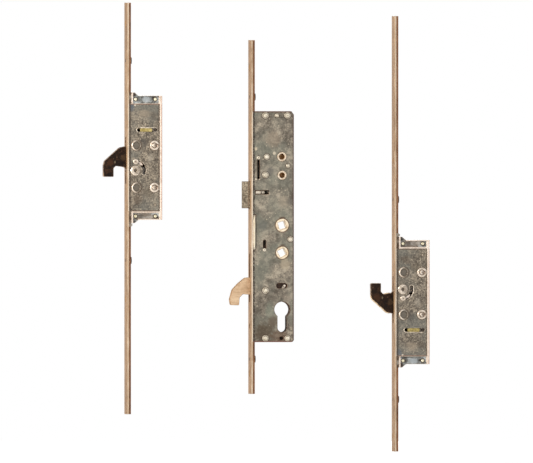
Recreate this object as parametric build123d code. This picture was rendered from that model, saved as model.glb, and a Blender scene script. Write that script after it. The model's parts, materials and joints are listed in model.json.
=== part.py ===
from build123d import *
import math
import os

# Multipoint door lock, shown as its three lengths side by side: the upper hook
# unit, the centre gearbox and the lower hook unit, which is the upper one upside down.
# Frame: origin on the cylinder axis at the middle of the case thickness, +X from the
# faceplate into the door, +Z up, -Y towards the cover plates. Millimetres.

# Strips and rails
FACE_T = 2.5
FACE_W = 20.0
STRIP_CHAMFER = 0.3
RAIL_T = 2.5
RAIL_GAP = 0.15
TRAVEL = 20.0
SCREW_HOLE_R = 2.3
SCREW_HEAD_R = 4.4
SCREW_HEAD_DEPTH = 1.6
STUD_R = 2.0
STUD_HEAD_R = 3.8
STUD_HEAD_T = 1.0

# Case layers, counted through the thickness
CASE_T = 15.0
PLATE_T = 1.5
HOOK_T = 6.6
SLIDE_T = 2.0
SLIDE_GAP = 0.4
SIDE_GAP = 0.3
RUN_GAP = 0.05
REST_GAP = 0.3
PIN_SUNK = 0.3
SLIDE_WEB = 1.8

# Centre case
BACKSET = 35.0
CASE_BACK = 12.9
CASE_TOP = 216.4
CASE_BOTTOM = -35.5
CORNER_CUT_X = 2.8
CORNER_CUT_Z = 3.6
CORNER_R = 3.0
CENTRE_STRIP_TOP = 294.0
CENTRE_STRIP_BOTTOM = -92.0

# Cylinder opening and its screw
CYLINDER_R = 8.6
CYLINDER_SLOT_W = 10.2
CYLINDER_HEIGHT = 33.2
CYLINDER_SCREW_Z = -18.3
CYLINDER_SCREW_R = 2.75
CAM_R = 15.3

# Spindle hubs
LOWER_HUB_Z = 62.0
HUB_PITCH = 30.0
SPINDLE = 8.1
UPPER_HUB_R = 7.3
LOWER_HUB_R = 6.9
HUB_DISC_R = 10.0
HUB_PROUD = 0.5
UPPER_SQUARE_TURN = 17.0
LOWER_SQUARE_TURN = 28.0
HUB_ARM_R = 14.0
HUB_NOSE_R = 2.4
HUB_ARM_W = 3.0

# Gears of one module
MODULE = 1.0
PRESSURE_ANGLE = 25.0
ADDENDUM = 0.8
DEDENDUM = 1.05
BACKLASH = 0.1
HUB_TEETH = 25
IDLER_TEETH = 9
GEAR_PIN_R = 1.5

# Latch
LATCH_Z = 125.2
LATCH_H = 29.4
LATCH_PROJECTION = 8.0
LATCH_TRAVEL = 8.0
LATCH_HEAD_W = 10.4
LATCH_HEAD_L = 9.6
LATCH_BODY_H = 26.5
LATCH_BODY_BACK = -18.7
LATCH_SLOT_Z = 128.0
LATCH_SLOT_H = 4.0
LATCH_RIB_IN = 3.1
LATCH_RIB_L = 6.4
LATCH_NOSE_FLAT = 0.35
LATCH_BEVEL = 0.75
TAIL_T = 3.0
SPRING_R = 2.3
SPRING_WIRE_R = 0.4
SPRING_TURNS = 7
STOP_X = -2.0
STOP_T = 3.0
STOP_H = 12.0

# Centre hook
HOOK_PIVOT_X = -18.4
HOOK_PIVOT_Z = 20.8
HOOK_PIVOT_R = 2.5
HOOK_HUB_R = 9.0
HOOK_SLOT_BELOW = 12.8
HOOK_SLOT_ABOVE = 40.2
PIVOT_HEAD_R = 3.6
CAM_PIN_R = 1.5
CAM_PIN_ORBIT = 9.5
CAM_PIN_LOBE_R = 3.2
CAM_CLEARANCE = 0.15
CAM_STEPS = 16
CENTRE_SWING = 96.0
CENTRE_PIN_START = 55.0

# Deadlock and key follower
LOCK_TRAVEL = 9.0
FOLLOWER_TRAVEL = 6.0
LOCK_PLATE_T = 0.9
LOCK_PIN_R = 1.4
LOCK_PIN_X = -19.4
LOCK_PIN_Z = 65.2
FOLLOWER_PIN_X = 2.5
FOLLOWER_PIN_Z = 26.0
FOLLOWER_W = 8.0
FOLLOWER_WINDOW_R = 2.7
LUG_L = 4.0
LUG_H = 7.0

# Reversing pinion and lower rail
PINION_X = -19.3
PINION_Z = -8.0
LOWER_RAIL_TOP = -18.0

# Rivets
RIVET_SHANK_R = 2.0
RIVET_HEAD_T = 0.8
HEAD_ROUND = 0.6
BUSH_BORE_TOP = 3.2
BUSH_BORE_LOW = 3.05
BUSH_WALL = 1.1
BUSH_FLANGE = 1.8
BUSH_FLANGE_T = 0.5
BUSH_FLOOR = 1.0

# Hook units, measured from the front of the strip and up from the hook pivot
UNIT_PIVOT_X = 9.8
UNIT_PIVOT_R = 3.2
UNIT_PIVOT_HOLE_R = 1.6
UNIT_PIVOT_DEPTH = 8.0
UNIT_PIVOT_HEAD_R = 5.4
UNIT_SWING = 90.0
UNIT_PIN_START = 50.0
UNIT_GUIDE_ORBIT = 9.8
UNIT_GUIDE_START = 88.0
UNIT_GUIDE_R = 1.8
ARC_BEFORE = 2.0
ARC_PAST = 13.0
COVER_FRONT = 3.3
COVER_BACK = 36.5
COVER_TOP = 73.0
COVER_BOTTOM = -44.3
HOUSING_BACK = 39.5
COVER_FIT = 0.2
HOUSING_ROUND = 1.3
BRACKET_TOP = 81.7
BRACKET_BOTTOM = -53.7
BRACKET_RECESS = 2.4
BRACKET_RIM = 1.6
BRACKET_RIVET_R = 1.8
BRACKET_RIVET_IN = 3.9
BRACKET_RIVET_X = (10.3, 32.0)
END_WALL = 1.5
RIM_SUNK = 0.3
FOOT_TOP = 85.4
FOOT_BOTTOM = -61.2
FOOT_L = 2.9
FOOT_TAB = 1.9
HORN_TIP = 2.0
HORN_BASE = 6.5
WINDOW_Z = 44.4
WINDOW_FRONT = 11.4
WINDOW_BACK = 34.0
WINDOW_H = 4.2
SHOE_X = 21.8
SHOE_L = 13.2
SHOE_TRAVEL = 5.0
BOSS_R = 5.3
BOSS_RIM = 1.2
BOSS_PROUD = 0.6
BOSS_X = (10.8, 30.8)
BOSS_Z = (27.5, -18.5)
BOSS_SHANK_R = 2.4
COVER_RIVET_R = 4.9
SHOE_SLOT_WEB = 1.6
UNIT_SLOT_TOP = 36.5
UNIT_SLOT_BOTTOM = -14.3
UNIT_HUB_R = 7.4

# Where the two hook units stand beside the centre length
UPPER_ASIDE = 136.5
LOWER_ASIDE = 158.1
UPPER_PIVOT_Z = 151.8
UPPER_STRIP_TOP = 335.0
UPPER_STRIP_BOTTOM = -114.0
LOWER_PIVOT_Z = 21.9
LOWER_STRIP_TOP = 320.0
LOWER_STRIP_BOTTOM = -155.0

# Layers derived from the sizes above
HALF = CASE_T / 2
INNER = HALF - PLATE_T
HOOK_HALF = HOOK_T / 2
FAR_0 = HOOK_HALF + SLIDE_GAP
FAR_1 = FAR_0 + SLIDE_T
RAIL_W = 2 * (INNER - SIDE_GAP)
FACE_X = -BACKSET
UPPER_FRONT = FACE_X - UPPER_ASIDE
LOWER_FRONT = FACE_X + LOWER_ASIDE
FACE_BACK = FACE_X + FACE_T
LATCH_RIB_X = FACE_BACK + LATCH_RIB_IN
RAIL_FRONT = FACE_T + RAIL_GAP
RAIL_BACK = RAIL_FRONT + RAIL_T
UPPER_HUB_Z = LOWER_HUB_Z + HUB_PITCH
HUB_PITCH_R = MODULE * HUB_TEETH / 2
IDLER_R = MODULE * IDLER_TEETH / 2
IDLER_X = -HUB_PITCH_R - IDLER_R
DRIVE_PITCH_X = IDLER_X - IDLER_R
LOWER_DRIVE_X = PINION_X + IDLER_R
LOWER_RACK_X = PINION_X - IDLER_R
PIN_SLOT_R = CAM_PIN_R + CAM_CLEARANCE


def rect(x0, x1, z0, z1):
    """Rectangle between two corners, in the plane of the plates."""
    return Pos((x0 + x1) / 2, (z0 + z1) / 2) * Rectangle(x1 - x0, z1 - z0)


def disc(x, z, r):
    """Round face about a point."""
    return Pos(x, z) * Circle(r)


def outline(points):
    """Closed face through corners given as x, z and corner radius."""
    corners = [(x, z) for x, z, r in points]
    radii = [r for x, z, r in points]
    return make_face(FilletPolyline(*corners, radius=radii, close=True))


def slot_through(points, r):
    """Slot of half width r that follows a row of centres."""
    shape = disc(*points[0], r)
    for (x0, z0), (x1, z1) in zip(points, points[1:]):
        length = math.hypot(x1 - x0, z1 - z0)
        turn = math.degrees(math.atan2(z1 - z0, x1 - x0))
        bar = Pos((x0 + x1) / 2, (z0 + z1) / 2) * Rot(0, 0, turn) * Rectangle(length, 2 * r)
        shape += bar + disc(x1, z1, r)
    return shape


def prism(face, y0, y1):
    """Face of the plate plane, as thick as from y0 to y1."""
    return extrude(Plane.XZ.offset(-y1) * face, amount=y1 - y0)


def box(x0, x1, y0, y1, z0, z1):
    """Block between two corners."""
    centre = Pos((x0 + x1) / 2, (y0 + y1) / 2, (z0 + z1) / 2)
    return centre * Box(x1 - x0, y1 - y0, z1 - z0)


def post(x, z, r, y0, y1):
    """Round bar along the thickness."""
    return prism(disc(x, z, r), y0, y1)


def around(x, z, orbit, angle):
    """Point on a circle, counted from +X towards +Z."""
    turn = math.radians(angle)
    return x + orbit * math.cos(turn), z + orbit * math.sin(turn)


def cross_hole(x0, x1, y, z, r):
    """Round bar along X, for a hole in a strip."""
    return Pos(x0, y, z) * Rot(0, 90, 0) * Cylinder(
        r, x1 - x0, align=(Align.CENTER, Align.CENTER, Align.MIN)
    )


def write(name, *solids):
    """Save the separate solids of one node."""
    shapes = []
    for solid in solids:
        shapes += list(solid.solids())
    kept = shapes[0] if len(shapes) == 1 else Compound(children=shapes)
    kept.label = name
    export_step(kept, "parts/" + name + ".step")


def flank_angle(r, pitch_r):
    """How far a tooth flank at radius r lies from where it is at the pitch circle."""
    pressure = math.radians(PRESSURE_ANGLE)
    base = pitch_r * math.cos(pressure)
    here = math.acos(min(1.0, base / max(r, base)))
    return (math.tan(pressure) - pressure) - (math.tan(here) - here)


def tooth_points(teeth, centre_angle):
    """Outline of one gear tooth, from root to root."""
    pitch_r = MODULE * teeth / 2
    half = (math.pi * MODULE / 2 - BACKLASH) / 2 / pitch_r
    radii = [pitch_r + MODULE * (-DEDENDUM + k * (DEDENDUM + ADDENDUM) / 6) for k in range(7)]
    middle = math.radians(centre_angle)
    points = []
    for side, row in ((-1, radii), (1, radii[::-1])):
        for r in row:
            turn = middle + side * (half + flank_angle(r, pitch_r))
            points.append((r * math.cos(turn), r * math.sin(turn)))
    return points


def gear_face(teeth, first_angle, count):
    """Gear teeth that follow each other from a first tooth, about the origin."""
    points = []
    for k in range(count):
        points += tooth_points(teeth, first_angle + 360 * k / teeth)
    if count < teeth:
        points.append((0, 0))
    return make_face(Polyline(*points, close=True))


def rack_teeth(x, side, z_gap, z0, z1):
    """Rack teeth on a pitch line at x, pointing to side, with a gap centre at z_gap."""
    pitch = math.pi * MODULE
    lean = math.tan(math.radians(PRESSURE_ANGLE))
    half = (pitch / 2 - BACKLASH) / 2
    tip = half - ADDENDUM * MODULE * lean
    root = half + DEDENDUM * MODULE * lean
    inner = x - side * DEDENDUM * MODULE
    outer = x + side * ADDENDUM * MODULE
    teeth = None
    first = math.ceil((z0 - z_gap) / pitch - 0.5)
    last = math.floor((z1 - z_gap) / pitch - 0.5)
    for k in range(first, last + 1):
        z = z_gap + (k + 0.5) * pitch
        corners = [
            (inner - side, z - root), (inner, z - root), (outer, z - tip),
            (outer, z + tip), (inner, z + root), (inner - side, z + root),
        ]
        tooth = make_face(Polyline(*corners, close=True))
        teeth = tooth if teeth is None else teeth + tooth
    return teeth


def cam_path(pivot_x, pivot_z, start, swing, steps=CAM_STEPS):
    """Where the cam pin of a hook runs in its slide, as the slide goes down its travel."""
    points = []
    for k in range(steps + 1):
        share = k / steps
        x, z = around(pivot_x, pivot_z, CAM_PIN_ORBIT, start - swing * share)
        points.append((x, z + TRAVEL * share))
    return points


def strip(x_front, z0, z1, openings, screws, stud_heights):
    """Faceplate with its openings, countersunk screw holes and stud holes."""
    body = box(x_front, x_front + FACE_T, -FACE_W / 2, FACE_W / 2, z0, z1)
    body = chamfer(body.edges().filter_by(Axis.Z).group_by(Axis.X)[0], STRIP_CHAMFER)
    for y_half, low, high in openings:
        body -= box(x_front - 1, x_front + FACE_T + 1, -y_half, y_half, low, high)
    for z in screws:
        body -= cross_hole(x_front - 1, x_front + FACE_T + 1, 0, z, SCREW_HOLE_R)
        sink = Cone(SCREW_HEAD_R, SCREW_HOLE_R, SCREW_HEAD_DEPTH,
                    align=(Align.CENTER, Align.CENTER, Align.MIN))
        body -= Pos(x_front, 0, z) * Rot(0, 90, 0) * sink
    for z in stud_heights:
        body -= cross_hole(x_front - 1, x_front + FACE_T + 1, 0, z, STUD_R)
    return body


def rail(x_front, z0, z1, slots):
    """Flat drive rail behind a strip, with a slot for each thing that passes it."""
    body = box(x_front + RAIL_FRONT, x_front + RAIL_BACK, -RAIL_W / 2, RAIL_W / 2, z0, z1)
    for y_half, low, high in slots:
        body -= box(x_front, x_front + RAIL_BACK + 1, -y_half, y_half, low, high)
    return body


def screw_slot(z, way):
    """Slot in a rail that clears a fixed screw or stud over the whole travel."""
    reach = SCREW_HOLE_R + REST_GAP
    ends = (z, z - way * TRAVEL)
    return reach, min(ends) - reach, max(ends) + reach


def stud(x_front, z):
    """Headed stud, riveted in the strip, that holds the rail against it."""
    shank = cross_hole(x_front, x_front + RAIL_BACK + RAIL_GAP, 0, z, STUD_R)
    head_x = x_front + RAIL_BACK + RAIL_GAP
    return shank + cross_hole(head_x, head_x + STUD_HEAD_T, 0, z, STUD_HEAD_R)


def rivet(x, z, head_r, shank_r=RIVET_SHANK_R, face=HALF):
    """Rivet through the case, with a low head on each plate."""
    body = post(x, z, shank_r, -face, HALF)
    near = post(x, z, head_r, -face - RIVET_HEAD_T, -face)
    near = fillet(near.edges().group_by(Axis.Y)[0], HEAD_ROUND)
    return body + near + post(x, z, head_r, HALF, HALF + RIVET_HEAD_T / 2)


def centre_outline():
    """Outline of the centre case, with its cut and its rounded corner."""
    return outline([
        (FACE_BACK, CASE_BOTTOM, 0), (CASE_BACK, CASE_BOTTOM, CORNER_R),
        (CASE_BACK, CASE_TOP - CORNER_CUT_Z, 0), (CASE_BACK - CORNER_CUT_X, CASE_TOP, 0),
        (FACE_BACK, CASE_TOP, 0),
    ])


def cylinder_hole():
    """Profile of the cylinder opening: a round top with a straight slot under it."""
    foot = CYLINDER_R - CYLINDER_HEIGHT
    w = CYLINDER_SLOT_W / 2
    end_r = w - RUN_GAP
    return disc(0, 0, CYLINDER_R) + outline([(-w, 0, 0), (-w, foot, end_r), (w, foot, end_r), (w, 0, 0)])


# Rivets of the centre case: x, z and head radius
TOP_ROW = CASE_TOP - 4.5
LOW_ROW = CASE_BOTTOM + 4.2
BACK_COLUMN = CASE_BACK - 7.0
CASE_RIVETS = [
    (-18.3, TOP_ROW, 3.6), (-5.8, TOP_ROW, 2.4), (BACK_COLUMN, TOP_ROW, 3.5), (-16.9, 166.8, 3.2),
    (-18.3, 147.0, 3.6), (6.4, 156.8, 2.4), (9.0, 76.8, 3.1),
    (-18.5, LOW_ROW, 3.5), (BACK_COLUMN, LOW_ROW, 3.3),
]
SLIDE_POSTS = (CASE_RIVETS[3], CASE_RIVETS[4])
BUSHES = [(-0.4, 166.8, BUSH_BORE_TOP), (-0.1, 146.6, BUSH_BORE_LOW)]
SIGHT_HOLE = (-0.9, LOW_ROW, 1.9)

# Guide pin of the drive slide, and its slot in the cover
GUIDE_PIN_X = -26.1
GUIDE_PIN_Z = 166.0
GUIDE_PIN_R = 0.95
GUIDE_SLOT_R = 1.15
GUIDE_SLOT_LOW = 143.6

# Faceplate screws and rail studs of the centre strip
CENTRE_SCREWS = (264.0, -70.0)
CENTRE_STUD_TOP = 232.0
CENTRE_STUD_LOW = -54.0

# Front guide block, seen through a notch in the cover's front edge
GUIDE_BLOCK_T = 3.2
GUIDE_BLOCK_LOW = 65.4
GUIDE_BLOCK_HIGH = 103.2

# Gearbox drive slide: its pad behind the latch spring, its neck and its bar at the front
PAD_BACK = -6.6
PAD_LOW = 161.0
PAD_HIGH = 205.0
NECK_FRONT = -24.0
NECK_BACK = -12.6
NECK_LOW = 140.0
BAR_FRONT = -28.0
BAR_BACK = -17.5
BAR_LOW = 94.0
BAR_STEP = 106.0


def centre_plate_holes():
    """Holes that both plates of the centre case share."""
    holes = cylinder_hole() + disc(0, LOWER_HUB_Z, LOWER_HUB_R + RUN_GAP)
    holes += disc(0, UPPER_HUB_Z, UPPER_HUB_R + RUN_GAP)
    holes += disc(HOOK_PIVOT_X, HOOK_PIVOT_Z, HOOK_PIVOT_R)
    for x, z, head_r in CASE_RIVETS:
        holes += disc(x, z, RIVET_SHANK_R)
    return holes


def centre_case():
    """Far plate of the centre case, with the holes of its rivets, hubs and gear pins."""
    holes = centre_plate_holes() + disc(IDLER_X, LOWER_HUB_Z, GEAR_PIN_R)
    holes += disc(PINION_X, PINION_Z, GEAR_PIN_R)
    return prism(centre_outline() - holes, INNER, HALF)


def centre_rim():
    """Folded rim between the two plates, with the notches that the rails pass."""
    rim = centre_outline() - outline([
        (FACE_BACK - 1, CASE_BOTTOM + PLATE_T, 0),
        (CASE_BACK - PLATE_T, CASE_BOTTOM + PLATE_T, CORNER_R / 2),
        (CASE_BACK - PLATE_T, CASE_TOP - CORNER_CUT_Z - PLATE_T / 2, 0),
        (CASE_BACK - CORNER_CUT_X - PLATE_T / 2, CASE_TOP - PLATE_T, 0),
        (FACE_BACK - 1, CASE_TOP - PLATE_T, 0),
    ])
    notch = rect(FACE_BACK - 1, FACE_X + RAIL_BACK + REST_GAP, CASE_BOTTOM - 1, CASE_TOP + 1)
    return prism(rim - notch, -INNER, INNER)


def centre_cover():
    """Near plate of the centre case, with its bushes and the slots that show the pins behind it."""
    face = centre_outline() - centre_plate_holes() - disc(*SIGHT_HOLE)
    for x, z, bore in BUSHES:
        face -= disc(x, z, bore + BUSH_WALL)
    face -= slot_through([(GUIDE_PIN_X, GUIDE_SLOT_LOW), (GUIDE_PIN_X, GUIDE_PIN_Z + GUIDE_PIN_R)],
                         GUIDE_SLOT_R)
    rib_back = LATCH_RIB_X + LATCH_RIB_L + LATCH_TRAVEL
    face -= rect(LATCH_RIB_X - REST_GAP, rib_back + REST_GAP,
                 LATCH_SLOT_Z - LATCH_SLOT_H / 2, LATCH_SLOT_Z + LATCH_SLOT_H / 2)
    lock_low = LOCK_PIN_Z - REST_GAP
    face -= slot_through([(LOCK_PIN_X, lock_low), (LOCK_PIN_X, LOCK_PIN_Z + LOCK_TRAVEL + REST_GAP)],
                         LOCK_PIN_R + CAM_CLEARANCE)
    face -= slot_through([(FOLLOWER_PIN_X - FOLLOWER_TRAVEL - REST_GAP, FOLLOWER_PIN_Z),
                          (FOLLOWER_PIN_X + REST_GAP, FOLLOWER_PIN_Z)], FOLLOWER_WINDOW_R)
    face -= rect(FACE_BACK - 1, FACE_BACK + GUIDE_BLOCK_T + REST_GAP,
                 GUIDE_BLOCK_LOW - REST_GAP, GUIDE_BLOCK_HIGH + REST_GAP)
    return prism(face, -HALF, -INNER)


def latch_bolt():
    """Bevelled head, body, guide rib and the tail that the upper hub pulls."""
    tip = FACE_X - LATCH_PROJECTION
    neck = tip + LATCH_HEAD_L
    w = LATCH_HEAD_W / 2
    plan = make_face(Polyline(
        (neck, -w), (tip + LATCH_PROJECTION * LATCH_BEVEL, -w), (tip, w * LATCH_NOSE_FLAT), (tip, w),
        (neck, w), close=True))
    head = extrude(Pos(0, 0, LATCH_Z - LATCH_H / 2) * plan, amount=LATCH_H)
    head = chamfer(head.edges().filter_by(Axis.Z).group_by(Axis.X)[0], 2 * REST_GAP)
    low = LATCH_Z - LATCH_BODY_H / 2
    body = prism(rect(neck, LATCH_BODY_BACK, low, LATCH_Z + LATCH_BODY_H / 2), -HOOK_HALF, HOOK_HALF)
    rib_half = LATCH_SLOT_H / 2 - REST_GAP
    rib = box(LATCH_RIB_X, LATCH_RIB_X + LATCH_RIB_L, -HALF + PIN_SUNK, -HOOK_HALF,
              LATCH_SLOT_Z - rib_half, LATCH_SLOT_Z + rib_half)
    nose_x = -LATCH_TRAVEL / 2
    tail_low = UPPER_HUB_Z + HUB_DISC_R + 2 * REST_GAP
    slot_r = HUB_NOSE_R + 2 * CAM_CLEARANCE
    tail = rect(LATCH_BODY_BACK - 2 * TAIL_T, nose_x + slot_r + HUB_NOSE_R, tail_low, low + TAIL_T / 6)
    notch_top = UPPER_HUB_Z + HUB_ARM_R + HUB_NOSE_R + REST_GAP
    tail -= rect(nose_x - slot_r, nose_x + slot_r, tail_low - 1, notch_top)
    return head + body + rib + prism(tail, -TAIL_T / 2, TAIL_T / 2)


def coil(x0, x1, z, coil_r, wire_r, turns):
    """Open coil along X, made of quarter turns that climb evenly."""
    steps = 4 * turns
    end = 2 * wire_r
    pitch = (x1 - x0 - 2 * end) / steps
    points = []
    for k in range(steps + 1):
        turn = math.pi / 2 * k
        points.append((x0 + end + pitch * k, coil_r * math.cos(turn), z + coil_r * math.sin(turn)))
    path = Spline(*points)
    ring = Plane(origin=path @ 0, z_dir=path % 0) * Circle(wire_r)
    return sweep(ring, path=path)


def square_hub(z, journal_r, turn, near_extra):
    """Hub that turns in both plates, with a square hole for the spindle."""
    body = post(0, z, HUB_DISC_R, -HOOK_HALF, HOOK_HALF)
    body += post(0, z, journal_r, -HALF - near_extra, HALF + near_extra)
    hole = Pos(0, z) * Rot(0, 0, turn) * Rectangle(SPINDLE, SPINDLE)
    return body, prism(hole, -CASE_T, CASE_T)


def upper_hub():
    """Hub of the latch, with the arm that reaches into the latch tail."""
    body, hole = square_hub(UPPER_HUB_Z, UPPER_HUB_R, UPPER_SQUARE_TURN, HUB_PROUD)
    start = 90 + math.degrees(math.asin(LATCH_TRAVEL / 2 / HUB_ARM_R))
    nose = around(0, UPPER_HUB_Z, HUB_ARM_R, start)
    arm = slot_through([(0, UPPER_HUB_Z), nose], HUB_ARM_W / 2) + disc(*nose, HUB_NOSE_R)
    return body + prism(arm, -TAIL_T / 2, TAIL_T / 2) - hole


def lower_hub():
    """Hub of the hooks, with the toothed sector that drives the idler."""
    body, hole = square_hub(LOWER_HUB_Z, LOWER_HUB_R, LOWER_SQUARE_TURN, HUB_PROUD)
    swing = math.degrees(TRAVEL / HUB_PITCH_R)
    pitch = 360 / HUB_TEETH
    count = math.ceil(swing / pitch) + 4
    sector = Pos(0, LOWER_HUB_Z) * gear_face(HUB_TEETH, 180 - 2 * pitch, count)
    return body + prism(sector, FAR_0, FAR_1) - hole


def small_gear(x, z, first_angle):
    """Nine-tooth gear that turns on its own pin."""
    face = Pos(x, z) * gear_face(IDLER_TEETH, first_angle, IDLER_TEETH)
    return prism(face - disc(x, z, GEAR_PIN_R + RUN_GAP), FAR_0, FAR_1)


def drive_slide():
    """Far slide of the gearbox: pad on the rail, rack to the idler, cam slot and lower rack."""
    rail_face = FACE_X + RAIL_BACK
    left = DRIVE_PITCH_X - DEDENDUM * MODULE
    bridge_low = HOOK_PIVOT_Z + TRAVEL + HOOK_PIVOT_R + REST_GAP + MODULE
    bridge_high = LOWER_HUB_Z - HUB_PITCH_R - ADDENDUM * MODULE - 2 * REST_GAP
    cam = cam_path(HOOK_PIVOT_X, HOOK_PIVOT_Z, CENTRE_PIN_START, CENTRE_SWING)
    leg_front = HOOK_PIVOT_X + HOOK_PIVOT_R + REST_GAP
    leg_back = HOOK_PIVOT_X + CAM_PIN_ORBIT + PIN_SLOT_R + SLIDE_WEB
    cam_low = min(z for x, z in cam) - PIN_SLOT_R - SLIDE_WEB
    rack_root = LOWER_DRIVE_X + DEDENDUM * MODULE
    foot = PINION_Z - IDLER_R
    foot_back = -CYLINDER_R - SLIDE_WEB
    face = rect(rail_face, PAD_BACK, PAD_LOW, PAD_HIGH)
    face += rect(NECK_FRONT, NECK_BACK, NECK_LOW, PAD_LOW + MODULE)
    face += rect(NECK_FRONT, BAR_BACK, BAR_LOW, NECK_LOW + MODULE)
    face += rect(BAR_FRONT, BAR_BACK, BAR_LOW, BAR_STEP)
    face += rect(BAR_FRONT, left, bridge_low, BAR_LOW + MODULE)
    face += rect(BAR_FRONT, leg_back, bridge_low, bridge_high)
    face += outline([
        (leg_front, bridge_high, 0), (leg_front, cam_low, 0), (rack_root, cam_low - SLIDE_WEB, 0),
        (rack_root, foot, 0), (foot_back, foot, 0), (foot_back, cam_low, 0),
        (leg_back, cam_low + IDLER_R, 0), (leg_back, bridge_high, 0),
    ])
    face += rack_teeth(DRIVE_PITCH_X, 1, LOWER_HUB_Z, LOWER_HUB_Z - IDLER_R, LOWER_HUB_Z + TRAVEL + IDLER_R)
    face += rack_teeth(LOWER_DRIVE_X, -1, PINION_Z, foot, PINION_Z + TRAVEL + IDLER_R)
    for x, z, head_r in SLIDE_POSTS:
        face -= slot_through([(x, z), (x, z + TRAVEL)], RIVET_SHANK_R + REST_GAP)
    face -= slot_through(cam, PIN_SLOT_R)
    face -= disc(GUIDE_PIN_X, GUIDE_PIN_Z, GUIDE_PIN_R)
    return prism(face, FAR_0, FAR_1)


# Centre hook: corners of its beak and stem, x, z and corner radius
CENTRE_HOOK = [
    (-31.0, 35.6, 2), (-40.6, 34.8, 4), (-48.3, 28.5, 5), (-54.6, 21.6, 6), (-57.5, 11.1, 3),
    (-56.4, 4.9, 1.5), (-46.9, 4.7, 1.0), (-46.2, 13.2, 2), (-42.7, 16.7, 2), (-36.5, 16.4, 1),
    (-24.0, 13.8, 0), (-18.4, 20.8, 0), (-20.0, 29.6, 0),
]


def centre_hook():
    """Hook plate with its hub, its cam pin lobe and both bores."""
    pin = around(HOOK_PIVOT_X, HOOK_PIVOT_Z, CAM_PIN_ORBIT, CENTRE_PIN_START)
    face = outline(CENTRE_HOOK) + disc(HOOK_PIVOT_X, HOOK_PIVOT_Z, HOOK_HUB_R)
    face += disc(*pin, CAM_PIN_LOBE_R)
    face -= disc(HOOK_PIVOT_X, HOOK_PIVOT_Z, HOOK_PIVOT_R + RUN_GAP) + disc(*pin, CAM_PIN_R)
    return prism(face, -HOOK_HALF, HOOK_HALF)


def deadlock_slide():
    """Near plate that the key raises, with its slanted slot for the follower's pin."""
    y0 = -INNER + SIDE_GAP / 2
    face = outline([
        (-13.5, 14.0, 1), (-1.0, 13.3, 2), (6.2, 22.0, 2), (6.2, 30.0, 2), (-12.0, 30.0, 1),
        (-16.2, 36.0, 1), (-16.2, 70.0, 1), (-22.4, 70.0, 1), (-22.4, 34.0, 2), (-15.2, 27.0, 1),
    ])
    face -= slot_through([(FOLLOWER_PIN_X, FOLLOWER_PIN_Z),
                          (FOLLOWER_PIN_X - FOLLOWER_TRAVEL, FOLLOWER_PIN_Z - LOCK_TRAVEL)], PIN_SLOT_R)
    face -= disc(LOCK_PIN_X, LOCK_PIN_Z, LOCK_PIN_R)
    return prism(face, y0, y0 + LOCK_PLATE_T)


def key_follower():
    """Near slider that the cylinder's cam pushes sideways by its lug."""
    y0 = -INNER + SIDE_GAP / 2 + LOCK_PLATE_T + CAM_CLEARANCE
    y1 = -HOOK_HALF - SIDE_GAP
    x = FOLLOWER_PIN_X
    side = FOLLOWER_W / 2
    shoulder = FOLLOWER_PIN_Z - side
    low = CAM_R - LUG_H / 2
    face = outline([
        (x - side, shoulder, 1), (x - LUG_L / 2, low, 0), (x + LUG_L / 2, low, 0),
        (x + side, shoulder, 1), (x + side, shoulder + FOLLOWER_W, 1), (x - side, shoulder + FOLLOWER_W, 1),
    ]) - disc(x, FOLLOWER_PIN_Z, CAM_PIN_R)
    lug = box(x - LUG_L / 2, x + LUG_L / 2, y1 - RUN_GAP, HOOK_HALF, CAM_R - LUG_H / 2, CAM_R + LUG_H / 2)
    return prism(face, y0, y1) + lug


def lower_slide():
    """Far slide on the lower rail, with the rack that the reversing pinion lifts."""
    rail_face = FACE_X + RAIL_BACK
    root = LOWER_RACK_X - DEDENDUM * MODULE
    top = PINION_Z + IDLER_R
    low = CASE_BOTTOM + PLATE_T + MODULE
    face = rect(rail_face, root, low, top)
    tooth_z = PINION_Z + math.pi * MODULE / 2
    return prism(face + rack_teeth(LOWER_RACK_X, 1, tooth_z, low + MODULE, top), FAR_0, FAR_1)


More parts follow.
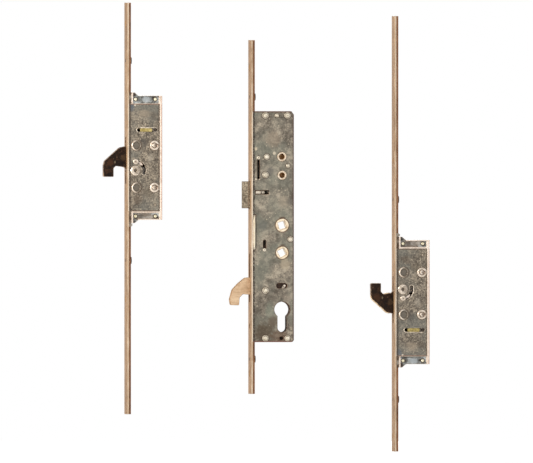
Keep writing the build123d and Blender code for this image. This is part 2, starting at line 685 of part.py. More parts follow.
def write_centre_unit():
    """All nodes of the centre gearbox."""
    latch_low = LATCH_Z - LATCH_H / 2 - REST_GAP
    latch_high = LATCH_Z + LATCH_H / 2 + REST_GAP
    openings = [
        (LATCH_HEAD_W / 2 + REST_GAP, latch_low, latch_high),
        (HOOK_HALF + REST_GAP, HOOK_PIVOT_Z - HOOK_SLOT_BELOW, HOOK_PIVOT_Z + HOOK_SLOT_ABOVE),
    ]
    studs = (CENTRE_STUD_TOP, CENTRE_STUD_LOW)
    plate = strip(FACE_X, CENTRE_STRIP_BOTTOM, CENTRE_STRIP_TOP, openings, CENTRE_SCREWS, studs)
    plate -= cross_hole(FACE_X - 1, FACE_BACK + 1, 0, CYLINDER_SCREW_Z, CYLINDER_SCREW_R)
    write("centre_faceplate", plate)
    write("centre_rail_studs", *[stud(FACE_X, z) for z in studs])
    write("gearbox_case", centre_case())
    write("gearbox_rim", centre_rim())
    write("gearbox_cover", centre_cover())
    write("gearbox_rivets", *[rivet(*place) for place in CASE_RIVETS])
    bushes = []
    for x, z, bore in BUSHES:
        cup = post(x, z, bore + BUSH_WALL, -HALF, INNER)
        cup += post(x, z, bore + BUSH_FLANGE, -HALF - BUSH_FLANGE_T, -HALF)
        bushes.append(cup - post(x, z, bore, -CASE_T, INNER - BUSH_FLOOR))
    write("handle_screw_bushes", *bushes)
    block_y = INNER - SIDE_GAP
    block = box(FACE_BACK, FACE_BACK + GUIDE_BLOCK_T, -HALF + PIN_SUNK, block_y,
                GUIDE_BLOCK_LOW, GUIDE_BLOCK_HIGH)
    write("front_guide_block", block)

    write("latch_bolt", latch_bolt())
    stop = box(STOP_X, STOP_X + STOP_T, -INNER, INNER,
               LATCH_SLOT_Z - STOP_H / 2, LATCH_SLOT_Z + STOP_H / 2)
    rod_tip = LATCH_BODY_BACK + LATCH_TRAVEL + REST_GAP
    stop += cross_hole(rod_tip, STOP_X, 0, LATCH_SLOT_Z, SPRING_R - SPRING_WIRE_R - REST_GAP)
    write("latch_spring_stop", stop)
    write("latch_spring", coil(LATCH_BODY_BACK, STOP_X, LATCH_SLOT_Z, SPRING_R, SPRING_WIRE_R, SPRING_TURNS))
    write("gearbox_upper_hub", upper_hub())
    write("gearbox_lower_hub", lower_hub())

    half_tooth = 180 / IDLER_TEETH
    write("idler_gear", small_gear(IDLER_X, LOWER_HUB_Z, half_tooth))
    write("idler_pin", post(IDLER_X, LOWER_HUB_Z, GEAR_PIN_R, FAR_0, HALF))
    write("reversing_pinion", small_gear(PINION_X, PINION_Z, 0))
    write("reversing_pinion_pin", post(PINION_X, PINION_Z, GEAR_PIN_R, FAR_0, HALF))

    slots = [screw_slot(CENTRE_SCREWS[0], -1), screw_slot(CENTRE_STUD_TOP, -1)]
    write("centre_upper_rail", rail(FACE_X, GUIDE_PIN_Z + 2, CENTRE_STRIP_TOP, slots))
    write("gearbox_drive_slide", drive_slide())
    write("drive_guide_pin", post(GUIDE_PIN_X, GUIDE_PIN_Z, GUIDE_PIN_R, -HALF + PIN_SUNK, FAR_1))

    write("centre_hook", centre_hook())
    write("centre_hook_pivot", rivet(HOOK_PIVOT_X, HOOK_PIVOT_Z, PIVOT_HEAD_R, HOOK_PIVOT_R))
    pin = around(HOOK_PIVOT_X, HOOK_PIVOT_Z, CAM_PIN_ORBIT, CENTRE_PIN_START)
    write("centre_hook_pin", post(*pin, CAM_PIN_R, -HOOK_HALF, FAR_1))

    y0 = -INNER + SIDE_GAP / 2
    write("deadlock_slide", deadlock_slide())
    write("deadlock_pin", post(LOCK_PIN_X, LOCK_PIN_Z, LOCK_PIN_R, -HALF + PIN_SUNK, y0 + LOCK_PLATE_T))
    write("key_follower", key_follower())
    pin_ends = (-HALF + PIN_SUNK, -HOOK_HALF - SIDE_GAP)
    write("key_follower_pin", post(FOLLOWER_PIN_X, FOLLOWER_PIN_Z, CAM_PIN_R, *pin_ends))

    screw_reach = CYLINDER_SCREW_R + REST_GAP
    slots = [
        screw_slot(CENTRE_SCREWS[1], 1), screw_slot(CENTRE_STUD_LOW, 1),
        (screw_reach, CYLINDER_SCREW_Z - TRAVEL - screw_reach, LOWER_RAIL_TOP + 1),
    ]
    write("centre_lower_rail", rail(FACE_X, CENTRE_STRIP_BOTTOM, LOWER_RAIL_TOP, slots))
    write("gearbox_lower_rack", lower_slide())


# Unit hook: corners of its beak and stem, x, z and corner radius
UNIT_HOOK = [
    (2.0, 25.8, 2), (-1.5, 26.4, 2), (-7.4, 25.1, 3), (-23.7, 10.5, 3), (-25.0, 5.7, 2),
    (-25.0, -6.8, 1.5), (-13.6, -6.8, 1.0), (-13.6, 2.4, 1.5), (-11.2, 5.1, 2), (-2.1, 3.7, 1),
    (5.0, -5.4, 0), (9.8, 0, 0), (12.5, 6.5, 0), (13.0, 14.0, 2),
]
# Where the strip of each unit takes its screws and rail studs, up from the hook pivot
UNIT_SCREWS = (160.0, -140.0)
UNIT_STUDS = (120.0, -98.0)


class HookUnit:
    """Hook unit, built upright about its pivot and then turned over for the lower one."""

    def __init__(self, name, front, pivot_z, strip_top, strip_bottom, mirrored):
        self.name = name
        self.front = front
        self.pivot_z = pivot_z
        self.mirrored = mirrored
        ends = (strip_top - pivot_z, strip_bottom - pivot_z)
        if mirrored:
            ends = (-ends[1], -ends[0])
        self.high, self.low = ends

    def save(self, node, *solids):
        """Move finished solids from the unit's own frame to their place and save them."""
        placed = []
        for solid in solids:
            shape = solid.mirror(Plane.XY) if self.mirrored else solid
            placed.append(Pos(self.front, 0, self.pivot_z) * shape)
        write(self.name + "_" + node, *placed)

    def hook(self):
        """Hook plate with the bores of its pivot and its two pins."""
        drive = around(UNIT_PIVOT_X, 0, CAM_PIN_ORBIT, UNIT_PIN_START)
        guide = around(UNIT_PIVOT_X, 0, UNIT_GUIDE_ORBIT, UNIT_GUIDE_START)
        face = outline(UNIT_HOOK) + disc(UNIT_PIVOT_X, 0, UNIT_HUB_R)
        face += disc(*drive, CAM_PIN_LOBE_R) + disc(*guide, CAM_PIN_LOBE_R)
        face -= disc(UNIT_PIVOT_X, 0, UNIT_PIVOT_R + RUN_GAP) + disc(*drive, CAM_PIN_R)
        face -= disc(*guide, UNIT_GUIDE_R)
        return prism(face, -HOOK_HALF, HOOK_HALF)

    def slide(self):
        """Far slide on the rail, with the cam slot of the hook and of the shoe."""
        cam = cam_path(UNIT_PIVOT_X, 0, UNIT_PIN_START, UNIT_SWING)
        leg_front = UNIT_PIVOT_X + UNIT_PIVOT_R + REST_GAP
        leg_back = UNIT_PIVOT_X + CAM_PIN_ORBIT + PIN_SLOT_R + SLIDE_WEB
        post_front = BOSS_X[1] - BOSS_SHANK_R - 2 * REST_GAP
        shoe_end = (SHOE_X + SHOE_TRAVEL, WINDOW_Z + TRAVEL)
        shoe_back = shoe_end[0] + PIN_SLOT_R + SHOE_SLOT_WEB
        bridge = UNIT_PIVOT_R + TRAVEL + SLIDE_WEB
        step = WINDOW_Z + TRAVEL / 2 + SLIDE_WEB
        face = rect(leg_front, leg_back, min(z for x, z in cam) - PIN_SLOT_R - SLIDE_WEB, bridge + SLIDE_WEB)
        face += rect(RAIL_BACK, post_front, bridge, step)
        face += rect(RAIL_BACK, shoe_back, step - REST_GAP, shoe_end[1] + PIN_SLOT_R + SLIDE_WEB)
        face -= slot_through(cam, PIN_SLOT_R)
        face -= slot_through([(SHOE_X, WINDOW_Z), shoe_end], PIN_SLOT_R)
        return prism(face, FAR_0, FAR_1)

    def plate_holes(self):
        """Holes that the housing and the cover share."""
        holes = disc(UNIT_PIVOT_X, 0, UNIT_PIVOT_R)
        for z in BOSS_Z:
            holes += disc(BOSS_X[1], z, BOSS_SHANK_R)
        return holes

    def cover(self):
        """Near plate with its window, the curved slot of the guide pin and two ringed bosses."""
        face = rect(COVER_FRONT, COVER_BACK, COVER_BOTTOM, COVER_TOP) - self.plate_holes()
        end = WINDOW_H / 2
        face -= slot_through([(WINDOW_FRONT + end, WINDOW_Z), (WINDOW_BACK - end, WINDOW_Z)], end)
        arc = []
        for k in range(CAM_STEPS + 1):
            angle = UNIT_GUIDE_START + ARC_BEFORE - (ARC_BEFORE + UNIT_SWING + ARC_PAST) * k / CAM_STEPS
            arc.append(around(UNIT_PIVOT_X, 0, UNIT_GUIDE_ORBIT, angle))
        face -= slot_through(arc, UNIT_GUIDE_R + CAM_CLEARANCE)
        body = prism(face, -HALF, -INNER)
        for z in BOSS_Z:
            body += post(BOSS_X[0], z, BOSS_R, -HALF - BOSS_PROUD, -HALF)
            body -= post(BOSS_X[0], z, BOSS_R - BOSS_RIM, -HALF - BOSS_PROUD, -HALF + PLATE_T / 5)
        return body

    def bracket(self, inner_z, outer_z, foot_z):
        """Stepped end of the housing: recessed shelf with its horn, its rims and the far foot."""
        way = 1 if outer_z > inner_z else -1
        front = RAIL_BACK + REST_GAP
        recess = -HALF + BRACKET_RECESS
        horn_x = front + FOOT_TAB
        horn_z = outer_z + way * (FOOT_TOP - BRACKET_TOP)
        wall = inner_z - way * END_WALL
        body = box(front, HOUSING_BACK, recess, INNER, *sorted((inner_z, outer_z)))
        body += box(front, HOUSING_BACK, -INNER, INNER, *sorted((wall, inner_z)))
        horn = make_face(Polyline(
            (front, outer_z), (front, horn_z), (horn_x + HORN_TIP, horn_z), (horn_x + HORN_BASE, outer_z),
            close=True))
        body += prism(horn, recess, HALF)
        rim = rect(front, horn_x, *sorted((inner_z, horn_z)))
        rim += rect(HOUSING_BACK - 2 * BRACKET_RIM, HOUSING_BACK, *sorted((inner_z, outer_z)))
        if way < 0:
            rim += rect(front, HOUSING_BACK, inner_z - BRACKET_RIM, inner_z - COVER_FIT)
            rim += rect(horn_x + HORN_BASE, HOUSING_BACK, outer_z, outer_z + BRACKET_RIM / 2)
        body += prism(rim, -HALF + RIM_SUNK, recess)
        return body + box(FACE_T, FACE_T + FOOT_L, INNER, HALF, *sorted((inner_z, foot_z)))

    def housing(self):
        """Cast tray: far plate, rear wall, end walls, stepped end brackets and feet."""
        plate = rect(FACE_T, HOUSING_BACK, BRACKET_BOTTOM, BRACKET_TOP) - self.plate_holes()
        body = prism(plate, INNER, HALF)
        rear = rect(COVER_BACK + COVER_FIT, HOUSING_BACK, COVER_BOTTOM, COVER_TOP)
        body += prism(rear, -HALF, INNER)
        body += self.bracket(COVER_TOP, BRACKET_TOP, FOOT_TOP)
        body += self.bracket(COVER_BOTTOM, BRACKET_BOTTOM, FOOT_BOTTOM)
        envelope = rect(FACE_T, HOUSING_BACK, -HALF, HALF)
        envelope = fillet(envelope.vertices().group_by(Axis.X)[-1], HOUSING_ROUND)
        return body & extrude(Pos(0, 0, FOOT_BOTTOM) * envelope, amount=FOOT_TOP - FOOT_BOTTOM)

    def feet(self):
        """Near feet beside the strip, above and below the cover."""
        feet = []
        for inner_z, foot_z in ((COVER_TOP, FOOT_TOP), (COVER_BOTTOM, FOOT_BOTTOM)):
            feet.append(box(FACE_T, FACE_T + FOOT_L, -HALF, -INNER, *sorted((inner_z, foot_z))))
        return feet

    def bracket_rivets(self):
        """Short rivets on the recessed end brackets."""
        rivets = []
        recess = -HALF + BRACKET_RECESS
        for z in (BRACKET_TOP - BRACKET_RIVET_IN, BRACKET_BOTTOM + BRACKET_RIVET_IN):
            for x in BRACKET_RIVET_X:
                head = post(x, z, BRACKET_RIVET_R, recess - RIVET_HEAD_T, recess)
                rivets.append(fillet(head.edges().group_by(Axis.Y)[0], HEAD_ROUND))
        return rivets

    def shoe(self):
        """Brass shoe that slides in the window, with its pin into the slide."""
        reach = WINDOW_H / 2 - CAM_CLEARANCE
        flange_y = -INNER + SIDE_GAP / 2
        end = SHOE_L / 2 - reach
        top = slot_through([(SHOE_X - end, WINDOW_Z), (SHOE_X + end, WINDOW_Z)], reach)
        body = prism(top, -HALF + PIN_SUNK, flange_y)
        body += box(SHOE_X - SHOE_L / 2, SHOE_X + SHOE_L / 2, flange_y, -HOOK_HALF,
                    WINDOW_Z - WINDOW_H, WINDOW_Z + WINDOW_H)
        return body + post(SHOE_X, WINDOW_Z, CAM_PIN_R, -HOOK_HALF, FAR_1)

    def write_all(self):
        """All nodes of this unit."""
        opening = (HOOK_HALF + REST_GAP, UNIT_SLOT_BOTTOM, UNIT_SLOT_TOP)
        self.save("faceplate", strip(0, self.low, self.high, [opening], UNIT_SCREWS, UNIT_STUDS))
        self.save("rail_studs", *[stud(0, z) for z in UNIT_STUDS])
        slots = [screw_slot(z, -1) for z in UNIT_SCREWS + UNIT_STUDS]
        reach = UNIT_HUB_R + REST_GAP * 2
        slots.append((HOOK_HALF + REST_GAP, -reach, UNIT_SLOT_TOP + TRAVEL))
        self.save("rail", rail(0, self.low, self.high, slots))
        self.save("drive_slide", self.slide())
        self.save("housing", self.housing())
        self.save("cover", self.cover())
        self.save("feet", *self.feet())
        self.save("hook", self.hook())
        pivot = post(UNIT_PIVOT_X, 0, UNIT_PIVOT_R, -HALF, HALF)
        head = post(UNIT_PIVOT_X, 0, UNIT_PIVOT_HEAD_R, -HALF - RIVET_HEAD_T, -HALF)
        pivot += fillet(head.edges().group_by(Axis.Y)[0], HEAD_ROUND)
        pivot -= post(UNIT_PIVOT_X, 0, UNIT_PIVOT_HOLE_R, -CASE_T, -HALF + UNIT_PIVOT_DEPTH)
        self.save("hook_pivot", pivot)
        drive = around(UNIT_PIVOT_X, 0, CAM_PIN_ORBIT, UNIT_PIN_START)
        guide = around(UNIT_PIVOT_X, 0, UNIT_GUIDE_ORBIT, UNIT_GUIDE_START)
        pins = [
            post(*drive, CAM_PIN_R, -HOOK_HALF, FAR_1),
            post(*guide, UNIT_GUIDE_R, -HALF + PIN_SUNK, HOOK_HALF),
        ]
        self.save("hook_pins", *pins)
        self.save("cover_rivets", *[rivet(BOSS_X[1], z, COVER_RIVET_R, BOSS_SHANK_R) for z in BOSS_Z])
        self.save("bracket_rivets", *self.bracket_rivets())
        self.save("shoe", self.shoe())


os.makedirs("parts", exist_ok=True)
write_centre_unit()
upper = HookUnit("upper", UPPER_FRONT, UPPER_PIVOT_Z, UPPER_STRIP_TOP, UPPER_STRIP_BOTTOM, False)
upper.write_all()
lower = HookUnit("lower", LOWER_FRONT, LOWER_PIVOT_Z, LOWER_STRIP_TOP, LOWER_STRIP_BOTTOM, True)
lower.write_all()
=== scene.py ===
"""Multipoint door lock shown as its three lengths side by side.

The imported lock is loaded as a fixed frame, in metres. Each sub-assembly then dresses its own
pieces: the strips and rails, the riveted centre gearbox, and the two hook units, of which the
lower one is the upper one turned upside down.
"""
import json
import logging
import math
from dataclasses import dataclass, field, replace
from enum import Enum
from typing import Optional, Sequence, Union

import bmesh
import bpy
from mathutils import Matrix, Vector

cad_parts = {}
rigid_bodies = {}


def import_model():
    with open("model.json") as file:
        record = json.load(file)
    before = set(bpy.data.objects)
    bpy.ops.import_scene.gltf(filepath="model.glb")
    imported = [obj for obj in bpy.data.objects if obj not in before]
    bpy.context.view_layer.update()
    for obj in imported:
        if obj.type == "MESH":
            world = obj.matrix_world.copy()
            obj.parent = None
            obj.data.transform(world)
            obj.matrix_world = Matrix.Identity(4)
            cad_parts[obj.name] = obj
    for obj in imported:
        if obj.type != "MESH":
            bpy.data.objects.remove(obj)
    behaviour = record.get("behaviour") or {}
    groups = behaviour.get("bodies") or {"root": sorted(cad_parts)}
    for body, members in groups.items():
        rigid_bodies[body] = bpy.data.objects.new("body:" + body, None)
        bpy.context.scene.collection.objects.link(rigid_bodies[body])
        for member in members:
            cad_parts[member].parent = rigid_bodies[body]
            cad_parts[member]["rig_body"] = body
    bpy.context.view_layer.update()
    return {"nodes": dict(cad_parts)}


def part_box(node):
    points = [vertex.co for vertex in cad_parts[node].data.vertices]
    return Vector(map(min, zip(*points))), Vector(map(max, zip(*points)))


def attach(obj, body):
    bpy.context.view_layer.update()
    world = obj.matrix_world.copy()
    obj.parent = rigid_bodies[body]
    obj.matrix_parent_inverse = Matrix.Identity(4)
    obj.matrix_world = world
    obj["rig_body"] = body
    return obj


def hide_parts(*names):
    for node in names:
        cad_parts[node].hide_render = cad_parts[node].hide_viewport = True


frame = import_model()

LOG = logging.getLogger("door_lock")
MM = 0.001
EVERYWHERE = (-1e6, 1e6)
# Range of the normal along X or Y that makes a face look to the front or to the viewer.
FACING_FRONT = (-1.1, -0.3)
FACING_NEAR = (-1.1, -0.9)
FACING_FAR = (0.9, 1.1)
FACING_ALONG = (-0.2, 0.2)
Point = tuple[float, float]
Place = tuple[float, float, float]
Tree = bpy.types.NodeTree
Socket = bpy.types.NodeSocket

# Half the soft rim of a crisp patch, and the rim of a frayed one as shares of its radius.
CRISP_MM = 0.25
FRAYED = (0.9, 1.6)
# How strongly clouds, blotches and speckle move a surface from its dark to its light colour.
GAINS = (2.6, 2.0, 2.0)
# Slow drift of tint, and ragging of stains, in features a millimetre.
DRIFT_SCALE = 0.034
RAG_SCALE = 0.35
# Depth of a pit as a multiple of the grain's relief.
PIT_DEPTH = 3
# Ranges that patterns are read between: wander of tint, inside of a pit, which cells are
# pitted, and the dots of a broken line.
DRIFT_CUT = (0.42, 0.62)
PIT_CUT = (0.08, 0.26)
PITTED_CUT = (0.55, 0.95)
DOT_CUT = (0.44, 0.54)
# Most that a tint wanders.
DRIFT_MOST = 0.6
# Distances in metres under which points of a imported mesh, a turned head and a grown mesh weld.
WELD_PACKED = 2e-6
WELD_TURNED = 1e-5
WELD_GROWN = 2e-7
# Angles from which an edge is broken, and from which it stays sharp on a grown mesh.
BROKEN_FROM = math.radians(40)
SHARP_FROM = math.radians(50)
# Angle under which two faces count as one flat face.
FLAT_UNDER = math.radians(0.5)


def linear(code: str) -> tuple[float, float, float, float]:
    """Turn an sRGB hex colour into linear light.

    Args:
        code: Six hex digits after a hash.

    Returns:
        Red, green, blue and an alpha of 1.
    """
    parts = [int(code[k:k + 2], 16) / 255 for k in (1, 3, 5)]
    light = [p / 12.92 if p <= 0.04045 else ((p + 0.055) / 1.055) ** 2.4 for p in parts]
    return light[0], light[1], light[2], 1.0


def add(tree: Tree, kind: str, inputs: Union[dict, tuple] = (), **settings) -> bpy.types.Node:
    """Add a node, set its properties, and fill or link its inputs.

    Args:
        tree: Tree that gets the node.
        kind: The node's type name.
        inputs: Values or output sockets by input's name or number, or a row of them in order.
        **settings: Properties of the node.

    Returns:
        The new node.
    """
    node = tree.nodes.new(kind)
    for name, value in settings.items():
        setattr(node, name, value)
    for key, value in inputs.items() if isinstance(inputs, dict) else enumerate(inputs):
        if isinstance(value, Socket):
            tree.links.new(value, node.inputs[key])
        else:
            node.inputs[key].default_value = value
    return node


class Slot(Enum):
    """Names of the record's finishes."""

    STRIP = "strip_steel"
    RAIL = "rail_steel"
    CASE = "case_steel"
    HOUSING = "housing_zinc"
    RIVET = "rivet_steel"
    HOOK_DARK = "hook_dark"
    HOOK_BRONZE = "hook_bronze"
    LATCH = "latch_steel"
    HUB = "hub_cream"
    SHOE = "shoe_brass"
    INNER = "inner_steel"
    SPRING = "spring_steel"


class Grain(Enum):
    """How fine a surface's grain is along X, Y and Z, set by the way it was made."""

    ROLLED = (1.0, 1.0, 0.12)
    DRAWN_ACROSS = (0.15, 1.0, 1.0)
    CAST = (1.0, 1.0, 1.0)


@dataclass(frozen=True)
class Patch:
    """Round stain, bright rub, dark ring or soft dent at a place on a plate, in millimetres."""

    x: float
    z: float
    radius: float
    colour: str = "#000000"
    strength: float = 0.0
    height: float = 0.0
    tall: float = 1.0
    crisp: bool = False


@dataclass(frozen=True)
class Seam:
    """Line of grime or rubbing that keeps one coordinate, in millimetres; dots break it up."""

    axis: str
    at: float
    width: float
    colour: str
    share: float = 1.0
    dot: float = 0.0
    span: Point = EVERYWHERE


@dataclass
class Layers:
    """Colour and relief of a material while its layers are laid."""

    tree: Tree
    mm: Socket
    colour: Socket
    height: Socket

    def lay(self, share: Socket, code: str) -> None:
        """Lay a colour over the present one by a share."""
        self.colour = add(self.tree, "ShaderNodeMix", {0: share, 6: self.colour, 7: linear(code)},
                          data_type="RGBA").outputs[2]

    def lift(self, mask: Socket, height: float) -> None:
        """Raise the relief by a height in millimetres where a mask is."""
        self.height = add(self.tree, "ShaderNodeMath", (mask, height, self.height),
                          operation="MULTIPLY_ADD").outputs[0]

    def drift(self, code: str) -> None:
        """Let the tint wander slowly towards another colour.

        Args:
            code: The other colour.
        """
        wide = add(self.tree, "ShaderNodeTexNoise", {"Vector": self.mm, "Scale": DRIFT_SCALE, "Detail": 2.0})
        share = add(self.tree, "ShaderNodeMapRange", (wide.outputs["Fac"], *DRIFT_CUT, 0.0, DRIFT_MOST))
        self.lay(share.outputs[0], code)

    def pits(self, apart: float, code: str, depth: float) -> None:
        """Scatter pits over some cells of a pattern.

        Args:
            apart: Size of a cell in millimetres.
            code: Their colour.
            depth: Their depth in millimetres.
        """
        cells = add(self.tree, "ShaderNodeTexVoronoi", {"Vector": self.mm, "Scale": 1 / apart}).outputs
        inside = add(self.tree, "ShaderNodeMapRange", (cells["Distance"], *PIT_CUT, 1.0, 0.0)).outputs[0]
        chance = add(self.tree, "ShaderNodeSeparateColor", {"Color": cells["Color"]}).outputs["Red"]
        picked = add(self.tree, "ShaderNodeMapRange", (chance, *PITTED_CUT)).outputs[0]
        pit = add(self.tree, "ShaderNodeMath", (inside, picked), operation="MULTIPLY").outputs[0]
        self.lay(pit, code)
        self.lift(pit, -depth)

    def mark(self, patch: Patch, rag: Socket) -> None:
        """Add one stain, rub, ring or dent.

        Args:
            patch: What it is and where.
            rag: Noise that frays a stain's rim.
        """
        off = add(self.tree, "ShaderNodeVectorMath", {0: self.mm, 1: (patch.x, 0.0, patch.z)},
                  operation="SUBTRACT").outputs[0]
        off = add(self.tree, "ShaderNodeVectorMath", {0: off, 1: (1.0, 0.0, 1 / patch.tall)},
                  operation="MULTIPLY").outputs[0]
        away = add(self.tree, "ShaderNodeVectorMath", {0: off}, operation="LENGTH").outputs["Value"]
        rim = (0.0, patch.radius)
        if patch.crisp:
            rim = (patch.radius - CRISP_MM, patch.radius + CRISP_MM)
        elif patch.strength:
            away = add(self.tree, "ShaderNodeMath", (rag, patch.radius, away),
                       operation="MULTIPLY_ADD").outputs[0]
            rim = (patch.radius * FRAYED[0], patch.radius * FRAYED[1])
        mask = add(self.tree, "ShaderNodeMapRange", (away, *rim, 1.0, 0.0),
                   interpolation_type="SMOOTHSTEP").outputs[0]
        if patch.strength:
            share = add(self.tree, "ShaderNodeMath", (mask, patch.strength), operation="MULTIPLY")
            self.lay(share.outputs[0], patch.colour)
        if patch.height:
            self.lift(mask, patch.height)

    def line(self, seam: Seam, parts: bpy.types.NodeOutputs) -> None:
        """Add one line of grime or rubbing.

        Args:
            seam: What it is and where.
            parts: X, Y and Z of the position.
        """
        off = add(self.tree, "ShaderNodeMath", (parts[seam.axis], seam.at), operation="SUBTRACT").outputs[0]
        off = add(self.tree, "ShaderNodeMath", (off,), operation="ABSOLUTE").outputs[0]
        share = add(self.tree, "ShaderNodeMapRange", (off, seam.width * 0.5, seam.width, seam.share, 0.0))
        masks = []
        if seam.dot:
            dots = add(self.tree, "ShaderNodeTexNoise", {
                "Vector": self.mm, "Scale": 1 / seam.dot, "Detail": 1.0}).outputs["Fac"]
            masks.append(add(self.tree, "ShaderNodeMapRange", (dots, *DOT_CUT)))
        if seam.span != EVERYWHERE:
            along = parts["Z" if seam.axis == "X" else "X"]
            for test, end in zip(("GREATER_THAN", "LESS_THAN"), seam.span):
                masks.append(add(self.tree, "ShaderNodeMath", (along, end), operation=test))
        for mask in masks:
            share = add(self.tree, "ShaderNodeMath", (share.outputs[0], mask.outputs[0]),
                        operation="MULTIPLY")
        self.lay(share.outputs[0], seam.colour)


@dataclass(frozen=True)
class Finish:
    """One surface: its colours, its grain at real size and its relief."""

    label: str
    base: str
    dark: str
    light: str
    metallic: float
    roughness: float
    grain: Grain = Grain.CAST
    grain_mm: float = 1.0
    blotch_mm: float = 4.5
    cloud_mm: float = 14.0
    clouds: float = 1.0
    blotches: float = 0.5
    speckle: float = 1.0
    specular: float = 0.5
    pit_mm: float = 0.0
    pit: str = "#FFFFFF"
    drift: Optional[str] = None
    groove: Optional[str] = None
    bump_mm: float = 0.02
    patches: tuple[Patch, ...] = ()
    seams: tuple[Seam, ...] = ()
    # A colour laid more fully further along Y: painted shade deeper in a bore.
    deep: Optional[tuple[float, float, str]] = None

    def build(self) -> bpy.types.Material:
        """Build the finish on Object coordinates.

        Returns:
            The material.
        """
        material = bpy.data.materials.new(self.label)
        material.use_nodes = True
        tree = material.node_tree
        shader = tree.nodes["Principled BSDF"]
        shader.inputs["Metallic"].default_value = self.metallic
        shader.inputs["Specular IOR Level"].default_value = self.specular
        place = add(tree, "ShaderNodeTexCoord").outputs["Object"]
        mm = add(tree, "ShaderNodeVectorMath", {0: place, "Scale": 1 / MM}, operation="SCALE").outputs[0]
        drawn = add(tree, "ShaderNodeVectorMath", {0: mm, 1: self.grain.value},
                    operation="MULTIPLY").outputs[0]
        cloud = add(tree, "ShaderNodeTexNoise", {
            "Vector": mm, "Scale": 1 / self.cloud_mm, "Detail": 3.0, "Roughness": 0.6,
            "Distortion": 0.8}).outputs["Fac"]
        blotch = add(tree, "ShaderNodeTexNoise", {
            "Vector": drawn, "Scale": 1 / self.blotch_mm, "Detail": 2.0, "Distortion": 0.6}).outputs["Fac"]
        fine = add(tree, "ShaderNodeTexNoise", {
            "Vector": drawn, "Scale": 1 / self.grain_mm, "Detail": 4.0, "Roughness": 0.65}).outputs["Fac"]
        gains = [gain * share for gain, share in zip(GAINS, (self.clouds, self.blotches, self.speckle))]
        tone = 0.5 - sum(gains) / 2
        for pattern, gain in zip((cloud, blotch, fine), gains):
            tone = add(tree, "ShaderNodeMath", (pattern, gain, tone), operation="MULTIPLY_ADD",
                       use_clamp=pattern is fine).outputs[0]
        ramp = add(tree, "ShaderNodeValToRGB", {"Fac": tone})
        ramp.color_ramp.elements[0].color = linear(self.dark)
        ramp.color_ramp.elements[1].color = linear(self.light)
        ramp.color_ramp.elements.new(0.5).color = linear(self.base)
        relief = add(tree, "ShaderNodeMath", (fine, self.bump_mm), operation="MULTIPLY").outputs[0]
        layers = Layers(tree, mm, ramp.outputs["Color"], relief)
        self.weather(layers)
        rough = add(tree, "ShaderNodeMapRange", (
            fine, 0.3, 0.7, self.roughness - 0.08, self.roughness + 0.1)).outputs[0]
        bump = add(tree, "ShaderNodeBump", {"Height": layers.height, "Strength": 1.0, "Distance": MM})
        tree.links.new(layers.colour, shader.inputs["Base Color"])
        tree.links.new(rough, shader.inputs["Roughness"])
        tree.links.new(bump.outputs["Normal"], shader.inputs["Normal"])
        return material

    def weather(self, layers: Layers) -> None:
        """Lay the drift, pits, grooves' grime and painted shade, patches, seams and the painted shade with
        depth, in that order.

        Args:
            layers: Colour and relief that they are laid on.
        """
        tree = layers.tree
        if self.drift:
            layers.drift(self.drift)
        if self.pit_mm:
            layers.pits(self.pit_mm, self.pit, PIT_DEPTH * self.bump_mm)
        # The groove attribute lays grime and painted shade in the heads' grooves.
        if self.groove:
            layers.lay(add(tree, "ShaderNodeAttribute", attribute_name="groove").outputs["Fac"], self.groove)
        if self.patches:
            rag = add(tree, "ShaderNodeTexNoise", {
                "Vector": layers.mm, "Scale": RAG_SCALE, "Detail": 3.0, "Roughness": 0.6,
                "Distortion": 0.5}).outputs["Fac"]
            for patch in self.patches:
                layers.mark(patch, rag)
        parts = add(tree, "ShaderNodeSeparateXYZ", {"Vector": layers.mm}).outputs
        for seam in self.seams:
            layers.line(seam, parts)
        # Painted shade deeper along Y.
        if self.deep:
            start, end, code = self.deep
            layers.lay(add(tree, "ShaderNodeMapRange", (parts["Y"], start, end)).outputs[0], code)


